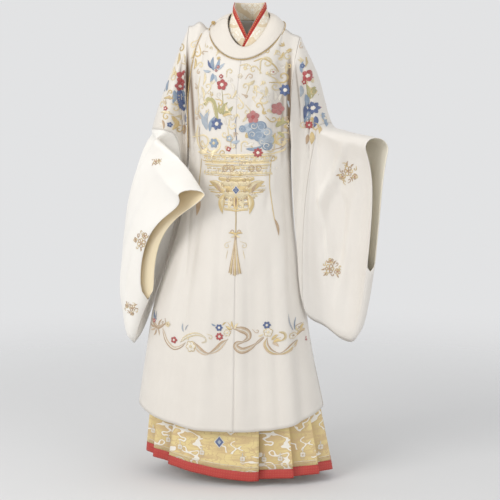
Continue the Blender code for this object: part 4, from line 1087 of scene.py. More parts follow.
def skirtPoints(part, isBand):
    rows, ripple = skirt["bandRows"] if isBand else skirt["rows"], skirt["ripple"]
    low = skirtColumns(skirt["low"], part, skirt["fine"])
    grid = np.zeros((rows + 1, len(low), 3))
    shade = np.zeros((rows + 1, len(low)))
    for r in range(rows + 1):
        for i, (angle, _) in enumerate(low):
            hem = skirtHem(skirtAt(angle, skirt["low"], 0.0)[0])
            seam = hem + skirt["band"]
            if isBand:
                z = seam + (hem - seam) * r / rows
            else:
                z = skirt["waist"] + (seam + skirt["seam"] - skirt["waist"]) * r / rows
            turn, share = skirtColumns(z, part, skirt["fine"])[i]
            t = (skirt["waist"] - z) / (skirt["waist"] - skirt["low"])
            inset = (skirt["waistDepth"] + (skirt["hemDepth"] - skirt["waistDepth"]) * t) * share
            if share == 0.0 and part in ("front", "back"):
                inset += ripple["height"] * math.sin(turn * ripple["around"] + z * ripple["down"]) * t
            grid[r, i] = skirtAt(turn, z, inset)
            shade[r, i] = skirt["foldShade"] * share
    return grid, shade


def buildSkirt():
    names = {"front": "panel_front", "back": "panel_back", "left": "pleats_left", "right": "pleats_right"}
    for part, node in names.items():
        grid, shade = skirtPoints(part, False)
        title = "skirt" + node.replace("_", " ").title().replace(" ", "")
        piece = clothPiece(title, grid, shade, cloths["brocade"], skirt["cloth"])
        skirtTargets.append(keepCloth(piece, "skirt_" + node))
        piece.data.set_sharp_from_angle(angle=skirt["sharp"])
        grid, shade = skirtPoints(part, True)
        piece = clothPiece("skirtHem" + part.title(), grid, shade, cloths["hemRed"], skirt["cloth"])
        keepCloth(piece, "skirt_hem_" + part)
        piece.data.set_sharp_from_angle(angle=skirt["sharp"])
    band = skirt["waistband"]
    rows = []
    for share in (1.0, 0.75, 0.5, 0.25, 0.0):
        inset = band["lean"] * band["height"] * share - band["out"]
        rows.append([(*skirtAt(360 * i / 96, skirt["waist"], inset)[:2],
                      skirt["waist"] + skirt["seam"] + band["height"] * share) for i in range(96)])
    rows = np.array(rows)
    piece = clothPiece("skirtWaistband", rows, np.zeros(rows.shape[:2]), cloths["brocade"], band["cloth"],
                       True)
    windTube(piece, rows)
    keepCloth(piece, "skirt_waistband", outward=None)


buildSkirt()
print("skirt is made")

# Collar band, piping, knot button and the crossed under-collar

collar = {"cloth": 0.0020, "lift": 0.0028, "start": -92.0, "turn": 359.2, "crown": 0.006,
          "columns": 180, "rows": 12}
piping = {"radius": 0.0016, "offCollar": 0.0022, "above": 0.0006, "offOverlap": 0.0010, "strand": 0.0010,
          "twist": 0.011, "lay": 0.62, "across": (0.31, -0.2, 0.93), "spacing": 0.0016, "start": -90.0,
          "turn": 356.0, "tilt": 8.0, "sideTilt": 52.0}
button = {"degrees": -86.0, "share": 0.26, "radius": 0.0065, "aboveSeam": 0.0040, "strand": 0.0019}
underCollar = {"x": 0.030, "topHalfX": 0.046, "topHalfY": 0.044, "topZ": 0.098, "lowHalfX": 0.0590,
               "lowHalfY": 0.053, "lowZ": 0.046, "turn": 206.0, "fallsFrom": 0.42, "topFall": 0.150,
               "lowFall": 0.118, "tuck": 0.0055, "cloth": 0.0016, "trim": 0.013, "trimCloth": 0.0011,
               "reach": 0.55}


def collarPoint(degrees, share):
    low, high = ringPoint(collarRing, degrees), ringPoint(neckRing, degrees)
    point = low + (high - low) * share
    point[2] += collar["crown"] * math.sin(math.pi * share)
    return point


def buildCollar():
    rows, columns = collar["rows"], collar["columns"]
    grid = np.array([[collarPoint(collar["start"] + collar["turn"] * c / columns, r / rows)
                      for c in range(columns + 1)] for r in range(rows + 1)])

    def away(p):
        return np.array([p[0] - collarRing["x"], p[1], 0.05])

    grid += normalsOf(grid, away) * collar["lift"]
    piece = clothPiece("collarBand", grid, np.zeros(grid.shape[:2]), cloths["collar"], collar["cloth"])
    keepCloth(piece, "collar_band", outward=away)


def evenPath(points, spacing):
    points = np.array(points)
    lengths = np.concatenate([[0], np.cumsum(np.linalg.norm(np.diff(points, axis=0), axis=1))])
    count = int(lengths[-1] / spacing)
    stops = np.linspace(0, lengths[-1], count + 1)
    return [np.array([np.interp(s, lengths, points[:, k]) for k in range(3)]) for s in stops]


def cordPiece(name, points):
    # two strands laid round each other along a path
    curve = bpy.data.curves.new(name, "CURVE")
    curve.dimensions = "3D"
    curve.bevel_depth = piping["strand"]
    curve.bevel_resolution = 2
    curve.use_fill_caps = True
    path = evenPath(points, piping["spacing"])
    for phase in (0.0, math.pi):
        knots = []
        travelled = 0.0
        for i, p in enumerate(path):
            ahead = path[min(i + 1, len(path) - 1)] - path[max(i - 1, 0)]
            forward = unit(ahead)
            side = unit(np.cross(forward, piping["across"]))
            up = np.cross(side, forward)
            angle = phase + 2 * math.pi * travelled / piping["twist"]
            reach = piping["strand"] * piping["lay"]
            knots.append(p + (side * math.cos(angle) + up * math.sin(angle)) * reach)
            if i + 1 < len(path):
                travelled += float(np.linalg.norm(path[i + 1] - p))
        spline = curve.splines.new("POLY")
        spline.points.add(len(knots) - 1)
        for knot, p in zip(spline.points, knots):
            knot.co = (*p, 1.0)
    curve.materials.append(cordGold)
    return addObject(name, curve)


def keepCord(piece, node):
    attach(piece, "root")
    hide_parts(node)


def buildPiping():
    path = []
    for i in range(361):
        degrees = piping["start"] + piping["turn"] * i / 360
        p = ringPoint(collarRing, degrees)
        radial = unit(np.array([p[0] - collarRing["x"], p[1], 0.0]))
        tilt = math.radians(piping["tilt"] + piping["sideTilt"] * math.sin(math.radians(degrees)) ** 2)
        out = radial * math.cos(tilt) + np.array([0, 0, math.sin(tilt)])
        down = radial * math.sin(tilt) - np.array([0, 0, math.cos(tilt)])
        path.append(p + out * (piping["radius"] + piping["offCollar"])
                    + down * (piping["radius"] + piping["above"]))
    keepCord(cordPiece("collarPiping", path), "collar_piping")
    path = []
    for p in overlapGrid[3:body["rowsAbove"] + 1, -1]:
        out = unit(np.array([p[0] * 0.9, p[1] - 0.02, 0.03]))
        path.append(p + out * (piping["radius"] + piping["offOverlap"]))
    keepCord(cordPiece("overlapPiping", path), "overlap_piping")


def buildButton():
    # a cord knotted into a ball
    seat = collarPoint(button["degrees"], button["share"])
    centre = Vector(seat + unit(np.array([-0.55, 0.0, 1.0])) * (button["radius"] + button["aboveSeam"]))
    curve = bpy.data.curves.new("knotButton", "CURVE")
    curve.dimensions = "3D"
    curve.bevel_depth = button["strand"]
    curve.bevel_resolution = 3
    spline = curve.splines.new("POLY")
    count = 120
    spline.points.add(count - 1)
    spline.use_cyclic_u = True
    reach = button["radius"] - button["strand"]
    for i in range(count):
        t = 2 * math.pi * i / count
        lat = 0.95 * math.sin(4 * t)
        lon = 3 * t
        around = Vector((math.cos(lat) * math.cos(lon), math.cos(lat) * math.sin(lon), math.sin(lat)))
        spline.points[i].co = (*(centre + reach * around), 1)
    curve.materials.append(cordGold)
    keepCord(addObject("knotButton", curve), "knot_button")


def underCollarPoint(side, share, t, lift):
    u = underCollar
    degrees = 180 - share * u["turn"]
    s, c = math.sin(math.radians(degrees)) * side, math.cos(math.radians(degrees))
    fall = max(0.0, (share - u["fallsFrom"]) / (1 - u["fallsFrom"]))
    topZ, lowZ = u["topZ"] - u["topFall"] * fall ** 1.55, u["lowZ"] - u["lowFall"] * fall ** 1.55
    z = lowZ + (topZ - lowZ) * t
    halfX = u["lowHalfX"] + (u["topHalfX"] - u["lowHalfX"]) * t
    halfY = u["lowHalfY"] + (u["topHalfY"] - u["lowHalfY"]) * t
    forward = -0.012 * fall if side == 1 else -0.008 * fall
    lifted = 1 + lift / u["topHalfX"]
    return np.array([u["x"] + halfX * s * lifted, -halfY * c * lifted + forward, z])


def buildUnderCollar():
    u = underCollar
    columns = 90

    def away(p):
        return np.array([p[0] - u["x"], p[1], 0.0])

    for side, word, tuck in ((1, "Left", 0.0), (-1, "Right", -u["tuck"])):
        lifts = [tuck * ease(c / columns * 2.5 - 1.2) for c in range(columns + 1)]
        reach = [1 + u["reach"] * ease((c / columns - 0.22) / 0.3) for c in range(columns + 1)]
        band = np.array([[underCollarPoint(side, c / columns, 1 - reach[c] * r / 12, lifts[c])
                          for c in range(columns + 1)] for r in range(13)])
        piece = clothPiece("underCollar" + word, band, np.zeros(band.shape[:2]), cloths["underCollar"],
                           u["cloth"],
                           inside=cloths["underInside"])
        keepCloth(piece, "under_collar_" + word.lower(), outward=away)
        share = u["trim"] / (u["topZ"] - u["lowZ"])
        strip = np.array([[underCollarPoint(side, c / columns, 1 - share * r / 5, lifts[c])
                           for c in range(columns + 1)] for r in range(6)])
        strip += normalsOf(strip, away) * (u["trimCloth"] + 0.0003)
        piece = clothPiece("underTrim" + word, strip, np.zeros(strip.shape[:2]), cloths["edgeRed"],
                           u["trimCloth"])
        keepCloth(piece, "under_trim_" + word.lower(), away)


buildCollar()
buildPiping()
buildButton()
buildUnderCollar()
print("collars, piping and button are made")

# Embroidery: ribbons of satin stitch that lie on the cloth, each with a low crown

stitching = {"facing": 0.32, "rise": 0.0005, "crown": 0.0006, "widest": 0.014, "step": 0.0035,
             "across": (-1.0, -0.6, 0.0, 0.6, 1.0), "arch": (0.0, 0.75, 1.0, 0.75, 0.0)}


def clothTree(pieces):
    bm = bmesh.new()
    for piece in pieces:
        bm.from_mesh(piece.data)
    tree = BVHTree.FromBMesh(bm)
    bm.free()
    return tree


def startStitches(pieces, facing):
    # facing is -1 for work seen from the front and 1 for work seen from behind
    bm = bmesh.new()
    return {"bm": bm, "uv": bm.loops.layers.uv.new("clothUV"), "tree": clothTree(pieces), "facing": facing,
            "colour": bm.verts.layers.float_color.new("threadColour")}


def stitchRibbon(work, spine, widths, thread, rise=0.0):
    bm, facing = work["bm"], work["facing"]
    spine = np.array(spine, dtype=float)
    count = len(spine) - 1
    ahead = np.gradient(spine, axis=0)
    ahead /= np.maximum(np.linalg.norm(ahead, axis=1, keepdims=True), 1e-9)
    side = np.stack([-ahead[:, 1], ahead[:, 0]], axis=1)
    travelled = np.concatenate([[0.0], np.cumsum(np.linalg.norm(np.diff(spine, axis=0), axis=1))])
    shade = random.uniform(0.88, 1.10)
    colour = tuple(min(c * shade, 1.0) for c in threads[thread]) + (1.0,)
    made = bmesh.ops.create_grid(bm, x_segments=count, y_segments=4, size=0.5)["verts"]
    lost, spots = [], {}
    for vert in made:
        c = round((vert.co.x + 0.5) * count)
        k = round((0.5 - vert.co.y) * 4)
        x, z = spine[c] + side[c] * widths[c] * stitching["across"][k]
        hit, normal, _, _ = work["tree"].ray_cast((x, facing * 1.0, z), (0, -facing, 0))
        if hit is None or abs(normal.y) < stitching["facing"]:
            lost.append(vert)
            continue
        if normal.y * facing < 0:
            normal = -normal
        vert.co = hit + normal * (stitching["rise"] + rise + stitching["crown"] * stitching["arch"][k])
        vert[work["colour"]] = colour
        spots[vert] = (travelled[c], widths[c] * stitching["across"][k])
    faces = {face for vert in made for face in vert.link_faces}
    torn = []
    for face in faces:
        if any(vert not in spots for vert in face.verts):
            continue
        depths = [vert.co.y for vert in face.verts]
        if max(depths) - min(depths) > stitching["widest"]:
            torn.append(face)
            continue
        face.material_index = 1 if thread in metalThreads else 0
        face.smooth = True
        for loop in face.loops:
            loop[work["uv"]].uv = spots[loop.vert]
        face.normal_update()
        if face.normal.y * facing < 0:
            face.normal_flip()
    bmesh.ops.delete(bm, geom=torn, context="FACES_ONLY")
    bmesh.ops.delete(bm, geom=lost, context="VERTS")


def smoothPath(points, step=None):
    # an even line through a few points
    points = [np.array(p, dtype=float) for p in points]
    points = [2 * points[0] - points[1]] + points + [2 * points[-1] - points[-2]]
    line = []
    for a, b, c, d in zip(points, points[1:], points[2:], points[3:]):
        for t in np.arange(0.0, 1.0, 0.1):
            line.append(0.5 * (2 * b + (c - a) * t + (2 * a - 5 * b + 4 * c - d) * t**2
                               + (3 * b - a - 3 * c + d) * t**3))
    line.append(points[-2])
    line = np.array(line)
    lengths = np.concatenate([[0], np.cumsum(np.linalg.norm(np.diff(line, axis=0), axis=1))])
    count = max(3, int(lengths[-1] / (step or stitching["step"])))
    stops = np.linspace(0, lengths[-1], count + 1)
    return np.stack([np.interp(stops, lengths, line[:, k]) for k in range(2)], axis=1)


def stitchLine(work, points, width, thread, taper=0.5, rise=0.0):
    # taper 0 keeps the full width, 1 runs to a point at both ends
    path = smoothPath(points)
    share = np.linspace(0, 1, len(path))
    widths = width * (1 - taper + taper * np.sin(math.pi * share) ** 0.8)
    stitchRibbon(work, path, np.maximum(widths, 0.0003), thread, rise)


def stitchLeaf(work, x, z, length, turn, width, thread, bend=0.0, rise=0.0):
    a = math.radians(turn)
    ahead, side = np.array([math.cos(a), math.sin(a)]), np.array([-math.sin(a), math.cos(a)])
    start = np.array([x, z])
    path = smoothPath([start, start + ahead * length * 0.5 + side * bend * length, start + ahead * length])
    share = np.linspace(0, 1, len(path))
    stitchRibbon(work, path, np.maximum(width * np.sin(math.pi * share ** 0.8) ** 0.8, 0.0003), thread, rise)


def stitchDisc(work, x, z, radius, thread, rise=0.0, squash=1.0):
    path = np.array([(x + radius * t, z) for t in np.linspace(-1, 1, max(5, int(radius / 0.0012)))])
    widths = squash * np.sqrt(np.maximum(radius**2 - (path[:, 0] - x) ** 2, 1e-8))
    stitchRibbon(work, path, widths, thread, rise)


def stitchRing(work, x, z, radius, width, thread, squash=1.0, rise=0.0):
    path = [(x + radius * math.cos(a) * squash, z + radius * math.sin(a))
            for a in np.linspace(0, 2 * math.pi, 17)]
    stitchRibbon(work, path, np.full(17, width), thread, rise)


def stitchFlower(work, x, z, radius, petal, heart, petals=5, turn=0.0, rise=0.0006):
    # pale flowers get a gold edge, so that they show on the cloth
    reach = 0.95 * math.pi / petals
    passes = [(1.14, 1.35, "gold", rise - 0.0004), (1.0, 1.0, petal, rise)]
    for grow, widen, thread, lift in passes if petal in ("cream", "paleSky") else passes[1:]:
        for i in range(petals):
            a = math.radians(turn) + 2 * math.pi * i / petals
            ahead = np.array([math.cos(a), math.sin(a)])
            path = np.array([np.array([x, z]) + ahead * radius * grow * (0.26 + 0.74 * t)
                             for t in np.linspace(0, 1, 5)])
            widths = radius * reach * 0.72 * widen * np.array([0.35, 0.78, 0.98, 0.80, 0.18])
            stitchRibbon(work, path, widths, thread, lift)
    stitchDisc(work, x, z, radius * 0.34, heart, rise + 0.0004)


def stitchCurl(work, x, z, radius, turn, thread, width, turns=1.2, hand=1, tail=0.0, rise=0.0):
    # a spiral that opens from its middle and may run off in a tail
    knots = []
    for i in range(15):
        t = i / 14
        a = math.radians(turn) + hand * 2 * math.pi * turns * (t - 1)
        r = radius * (0.12 + 0.88 * t ** 0.9)
        knots.append((x + r * math.cos(a), z + r * math.sin(a)))
    if tail:
        last, before = np.array(knots[-1]), np.array(knots[-2])
        step = unit(last - before)
        knots += [tuple(last + step * tail * 0.5), tuple(last + step * tail)]
    path = smoothPath(knots)
    share = np.linspace(0, 1, len(path))
    stitchRibbon(work, path, width * (0.45 + 0.55 * np.sin(math.pi * share ** 0.8)), thread, rise)


def stitchDiamond(work, x, z, height, width, thread, rise=0.0):
    path = np.array([(x, z + height * t) for t in np.linspace(-1, 1, 7)])
    stitchRibbon(work, path, np.maximum(width * (1 - np.abs(np.linspace(-1, 1, 7))), 0.0003), thread, rise)


def stitchBand(work, points, width, strands, turns):
    # a ribbon drawn in parallel lines, which narrows and widens as if it turned over
    path = smoothPath(points)
    share = np.linspace(0, 1, len(path))
    ahead = np.gradient(path, axis=0)
    ahead /= np.maximum(np.linalg.norm(ahead, axis=1, keepdims=True), 1e-9)
    side = np.stack([-ahead[:, 1], ahead[:, 0]], axis=1)
    spread = width * (0.26 + 0.74 * np.abs(np.sin(math.pi * (0.12 + turns * share))))
    spread *= np.minimum(1.0, 6 * np.minimum(share, 1 - share) + 0.25)
    for k, thread in enumerate(strands):
        offset = (2 * k + 1) / len(strands) - 1
        line = path + side * (spread * offset)[:, None]
        stitchRibbon(work, line, np.maximum(spread / len(strands) * 0.92, 0.0004), thread, 0.0002 * (k % 2))


# shares of the spray's size, and degrees round it
sprig = {
    "blooms": ((0.08, 70, 6, 0.22), (0.34, 215, 5, 0.15), (0.37, 335, 4, 0.12)),
    "curls": ((110, 0.38, 1), (165, 0.30, -1), (30, 0.40, 1), (280, 0.34, -1), (250, 0.45, 1)),
    "leaves": ((60, 0.30, 0.20), (95, 0.30, 0.24), (190, 0.42, 0.16), (235, 0.22, 0.20), (300, 0.20, 0.24),
               (350, 0.28, 0.20)),
}


def stitchSprig(work, x, z, size, turn, petal, leaf, heart):
    # a loose spray in fine lines: a large bloom, two smaller ones, curls and leaves round them
    def spot(share, degrees):
        a = math.radians(degrees + turn)
        return x + size * share * math.cos(a), z + size * share * math.sin(a)

    for share, degrees, petals, radius in sprig["blooms"]:
        middleX, middleZ = spot(share, degrees)
        reach = size * radius * 0.62
        for i in range(petals):
            a = math.radians(360 * i / petals + turn)
            stitchRing(work, middleX + reach * math.cos(a), middleZ + reach * math.sin(a),
                       size * radius * random.uniform(0.30, 0.46), size * 0.023, petal if i % 2 else leaf,
                       0.9, 0.0002 * (i % 2))
        stitchDisc(work, middleX, middleZ, size * 0.030, heart, 0.0006)
    for degrees, share, hand in sprig["curls"]:
        stitchCurl(work, *spot(share, degrees), size * 0.085, degrees, leaf if hand == 1 else petal,
                   size * 0.022, 1.0, hand, size * 0.10)
    for degrees, share, length in sprig["leaves"]:
        stitchLeaf(work, *spot(share, degrees), size * length, degrees + turn + random.uniform(-30, 30),
                   size * 0.042, petal, 0.15)


def finishStitches(work, name):
    mesh = bpy.data.meshes.new(name)
    work["bm"].to_mesh(mesh)
    work["bm"].free()
    mesh.materials.append(silkThread)
    mesh.materials.append(goldThread)
    piece = addObject(name, mesh)
    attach(piece, "root")
    print("   ", name, len(mesh.polygons), "faces")


# least and greatest sizes of the small fillings, and the room kept round each
filling = {"radius": (0.0045, 0.0095), "width": (0.0012, 0.0021), "tail": (0.004, 0.014),
           "leaf": (0.011, 0.019), "leafHalf": (0.0018, 0.0030), "kept": 0.005}


def stitchFilling(work, areas, count, taken, reach):
    # many small pale curls, leaves and dots between the larger motifs
    for placed in range(1, count + 1):
        left, right, low, high = random.choice(areas)
        x, z = random.uniform(left, right), random.uniform(low, high)
        if any(math.hypot(x - spot[0], z - spot[1]) < spot[2] + reach for spot in taken):
            continue
        thread = random.choice(("paleGold", "cream", "gold", "paleGold", "paleTan"))
        turn, hand = random.uniform(0, 360), random.choice((1, -1))
        if placed % 2:
            radius, width, tail = (random.uniform(*filling[key]) for key in ("radius", "width", "tail"))
            stitchCurl(work, x, z, radius, turn, thread, width, 1.1, hand, tail)
        else:
            for spread in (-32, 0, 32):
                length, half = random.uniform(*filling["leaf"]), random.uniform(*filling["leafHalf"])
                stitchLeaf(work, x, z, length, turn + spread, half, thread, 0.12)
        taken.append((x, z, filling["kept"]))


# the columns of each kind of table that are turns, counts, bends or shares
plainColumns = {"flowers": (5, 6), "leaves": (3, 6), "curls": (3, 6, 7), "ribbons": (3,),
                "cloud": (), "lines": ()}


def readLayout(layout):
    return {key: inMetres(value, plainColumns[key]) if key in plainColumns else value
            for key, value in layout.items()}


# chest and back work: x, z and sizes in millimetres, turns in degrees
chest = readLayout({
    "fillings": 250, "neckX": 0.022, "fillingX": (-0.10, -0.06, -0.02, 0.02, 0.06, 0.10, 0.14),
    "flowers": [
        # x, z, radius, petals, heart, count, turn
        (-33, -145, 16.5, "red", "cream", 5, 10), (-36, -121, 6.5, "red", "cream", 4, 0),
        (-48, -258, 18, "navy", "cream", 7, 0), (-57, -314, 14.5, "sky", "paleGold", 6, 0),
        (58, -238, 19, "rose", "red", 5, 20), (72, -341, 14.5, "red", "cream", 8, 0),
        (144, -160, 17.5, "navy", "cream", 7, 12), (124, -214, 19, "rose", "rose", 5, 0),
        (-12, -331, 7.5, "red", "cream", 4, 20), (-46, -94, 5, "red", "cream", 4, 0),
        (-52, -104, 4.2, "red", "cream", 4, 0), (20, -120, 6, "cream", "paleGold", 5, 0),
        (-10, -300, 10, "paleSky", "cream", 5, 0), (112, -108, 8, "cream", "rose", 5, 0),
    ],
    "leaves": [
        # x, z, length, turn, half width, thread, bend
        (-60, -104, 40, 95, 6, "sky", 0.1), (-56, -100, 32, 68, 5, "sky", -0.1),
        (-64, -98, 30, 122, 4.5, "navy", 0.1), (-48, -102, 28, 42, 4.5, "paleSky", 0.0),
        (-62, -112, 26, 252, 5.5, "sky", 0.1), (-56, -116, 22, 285, 4.5, "paleSky", 0.0),
        (-70, -106, 24, 170, 4, "paleSky", 0.1), (-31, -232, 40, 68, 6, "olive", 0.15),
        (-27, -228, 34, 38, 5.5, "olive", -0.1), (-30, -236, 28, 10, 4.5, "gold", 0.15),
        (-36, -230, 30, 100, 5, "olive", 0.1), (-80, -276, 56, 84, 8, "paleSky", 0.15),
        (-71, -280, 46, 70, 6, "sky", 0.1), (-92, -262, 40, 108, 5, "paleSky", -0.1),
        (-6, -226, 30, 120, 4.5, "paleGold", 0.2), (118, -268, 36, 22, 7, "olive", 0.2),
        (124, -264, 30, 62, 6, "olive", -0.15), (122, -282, 26, 318, 5, "olive", 0.1),
        (112, -290, 30, 262, 4.5, "olive", 0.1), (150, -190, 22, 285, 4, "paleSky", 0.1),
        (108, -196, 24, 118, 4.5, "cream", 0.1), (116, -190, 26, 92, 4.5, "cream", -0.1),
        (128, -190, 20, 70, 4, "cream", 0.1), (38, -330, 50, 12, 5, "sky", -0.12),
        (20, -306, 26, 190, 5, "paleSky", 0.1), (62, -132, 30, 200, 4.5, "paleGold", 0.2),
        (94, -150, 34, 250, 4.5, "paleGold", 0.2), (78, -160, 26, 300, 4, "cream", 0.2),
        (-98, -150, 40, 280, 4, "paleGold", 0.12), (-78, -328, 36, 200, 7, "paleGold", 0.2),
        (-44, -334, 34, 230, 6, "paleGold", -0.2), (134, -324, 36, 30, 5.5, "paleGold", 0.2),
        (120, -318, 34, 95, 4.5, "gold", 0.15), (-122, -66, 34, 262, 3.6, "gold", 0.1),
        (-128, -40, 30, 250, 3.2, "paleGold", 0.1), (146, -78, 34, 268, 3.6, "paleGold", 0.1),
        (138, -50, 26, 240, 3, "gold", 0.1), (60, -312, 28, 200, 4, "cream", 0.1),
        (-18, -262, 26, 100, 3.6, "cream", 0.1), (28, -252, 24, 60, 3.4, "paleGold", -0.1),
        (-6, -140, 26, 290, 3.2, "cream", 0.1), (-88, -110, 36, 262, 3.5, "paleGold", 0.1),
        (10, -160, 30, 240, 3.5, "paleGold", 0.1),
    ],
    "cloud": [
        # x, z, radius
        (44, -270, 13.5), (60, -263, 15.5), (80, -266, 16.5), (94, -283, 15.5), (76, -292, 17.5),
        (56, -289, 13.5), (101, -305, 12.5), (96, -321, 13.5), (28, -272, 10), (84, -309, 11),
    ],
    "curls": [
        # x, z, radius, turn, thread, half width, turns, hand, tail
        (95, -82, 19, 200, "paleGold", 2.8, 1.2, 1, 26), (138, -122, 17, 250, "gold", 2.6, 1.1, -1, 30),
        (58, -102, 12, 20, "paleGold", 2.4, 1.0, -1, 20), (86, -188, 17, 90, "paleGold", 2.6, 1.1, 1, 20),
        (74, -206, 10, 0, "gold", 2, 1.0, -1, 14), (140, -306, 24, 60, "paleGold", 3, 1.1, -1, 30),
        (132, -312, 13, 90, "gold", 2.2, 1.0, -1, 10), (-92, -312, 22, 120, "paleGold", 3, 1.1, 1, 30),
        (-58, -316, 26, 200, "paleGold", 3.6, 1.3, -1, 20), (-40, -198, 10, 100, "gold", 2, 1.0, 1, 12),
        (20, -205, 12, 60, "paleGold", 2.2, 1.1, 1, 20), (0, -262, 13, 150, "paleGold", 2.4, 1.1, -1, 20),
        (-98, -210, 11, 220, "paleGold", 2.2, 1.0, 1, 24), (118, -150, 11, 300, "paleGold", 2, 1.0, 1, 14),
        (-10, -108, 10, 200, "paleGold", 2, 1.0, 1, 12), (36, -150, 11, 320, "paleGold", 2, 1.1, -1, 16),
        (-118, -52, 13, 40, "gold", 2.2, 1.1, 1, 18), (-132, -28, 10, 90, "paleGold", 2, 1.1, -1, 14),
        (-104, -88, 10, 160, "paleGold", 2, 1.1, 1, 16), (150, -62, 12, 100, "paleGold", 2.2, 1.1, -1, 16),
        (154, -92, 9, 200, "gold", 1.8, 1.1, 1, 14), (-24, -288, 12, 30, "paleGold", 2.2, 1.1, 1, 16),
        (36, -318, 12, 200, "paleGold", 2.2, 1.1, 1, 16), (112, -244, 10, 200, "gold", 1.8, 1.0, -1, 16),
        (-78, -150, 11, 300, "paleGold", 2, 1.0, -1, 18), (-14, -180, 9, 120, "paleGold", 1.8, 1.0, 1, 12),
        (40, -222, 10, 60, "paleGold", 1.8, 1.1, 1, 14), (104, -330, 11, 20, "paleGold", 2, 1.1, 1, 14),
        (-30, -342, 10, 250, "gold", 1.8, 1.1, 1, 14),
    ],
    "lines": [
        # points, half width, thread
        ([(-88, -204), (-76, -186), (-60, -194), (-52, -222), (-47, -246)], 6.8, "olive"),
        ([(-84, -208), (-73, -193), (-61, -202), (-55, -228)], 2, "paleGold"),
        ([(-33, -160), (-30, -190), (-28, -232)], 1, "olive"),
        ([(58, -78), (86, -70), (114, -88), (126, -108)], 2.4, "gold"),
        ([(100, -118), (118, -128), (134, -148), (150, -152)], 2.2, "paleGold"),
        ([(-112, -262), (-117, -296), (-103, -330), (-74, -345)], 3, "paleGold"),
        ([(-106, -268), (-108, -300), (-94, -332), (-60, -350)], 1.4, "tan"),
        ([(158, -268), (162, -304), (140, -334), (104, -346)], 3, "paleGold"),
        ([(150, -272), (153, -302), (134, -326), (108, -334)], 1.4, "tan"),
        ([(10, -238), (6, -262), (10, -296), (9, -330)], 1, "navy"),
        ([(18, -90), (40, -86), (54, -96)], 2, "paleGold"),
        ([(-104, -120), (-110, -160), (-106, -200), (-112, -240)], 1.8, "paleGold"),
    ],
})


def sameX(x):
    return x


def turnFor(turn, sign):
    return turn if sign == 1 else 180 - turn


def stitchCurls(work, rows, at, sign):
    for x, z, radius, turn, thread, width, turns, hand, tail in rows:
        stitchCurl(work, at(x), z, radius, turnFor(turn, sign), thread, width, turns, hand * sign, tail)


def stitchLeaves(work, rows, at, sign, rise):
    for x, z, length, turn, width, thread, bend in rows:
        stitchLeaf(work, at(x), z, length, turnFor(turn, sign), width, thread, bend * sign, rise)


def stitchFlowers(work, rows, at, sign):
    for x, z, radius, petal, heart, count, turn in rows:
        stitchFlower(work, at(x), z, radius, petal, heart, count, turnFor(turn, sign), 0.0010)


def stitchLayout(work, layout, at=sameX, sign=1):
    # curls first, then leaves, then what lies over them; sign -1 mirrors the turns
    stitchCurls(work, layout["curls"], at, sign)
    stitchLeaves(work, layout["leaves"], at, sign, 0.0003)
    for i, (x, z, radius) in enumerate(layout.get("cloud", ())):
        lift = 0.0004 + 0.00012 * i
        stitchDisc(work, at(x), z, radius, "sky" if i % 3 else "paleSky", lift)
        stitchCurl(work, at(x), z, radius * 0.74, turnFor(40 * i, sign), "cream" if i % 2 else "paleSky",
                   radius * 0.075, 1.2, sign, 0.0, lift + 0.0006)
    stitchFlowers(work, layout["flowers"], at, sign)


def stitchChest(work, flip):
    # flip mirrors the layout for the back, where the neck leaves more room above
    def at(x):
        return chest["neckX"] - x if flip else x

    taken = [(at(x), z, radius) for x, z, radius, *_ in chest["flowers"] + chest["cloud"] + chest["curls"]]
    taken += [(at(x), z, 0.008) for x, z, *_ in chest["leaves"]]
    areas = [(at(x) - 0.02, at(x) + 0.02, -0.335, -0.03 if abs(x - chest["neckX"]) > 0.07 else -0.10)
             for x in chest["fillingX"]]
    stitchFilling(work, areas, chest["fillings"], taken, 0.006)
    for points, width, thread in chest["lines"]:
        stitchLine(work, [(at(x), z) for x, z in points], width, thread)
    stitchLayout(work, chest, at, -1 if flip else 1)


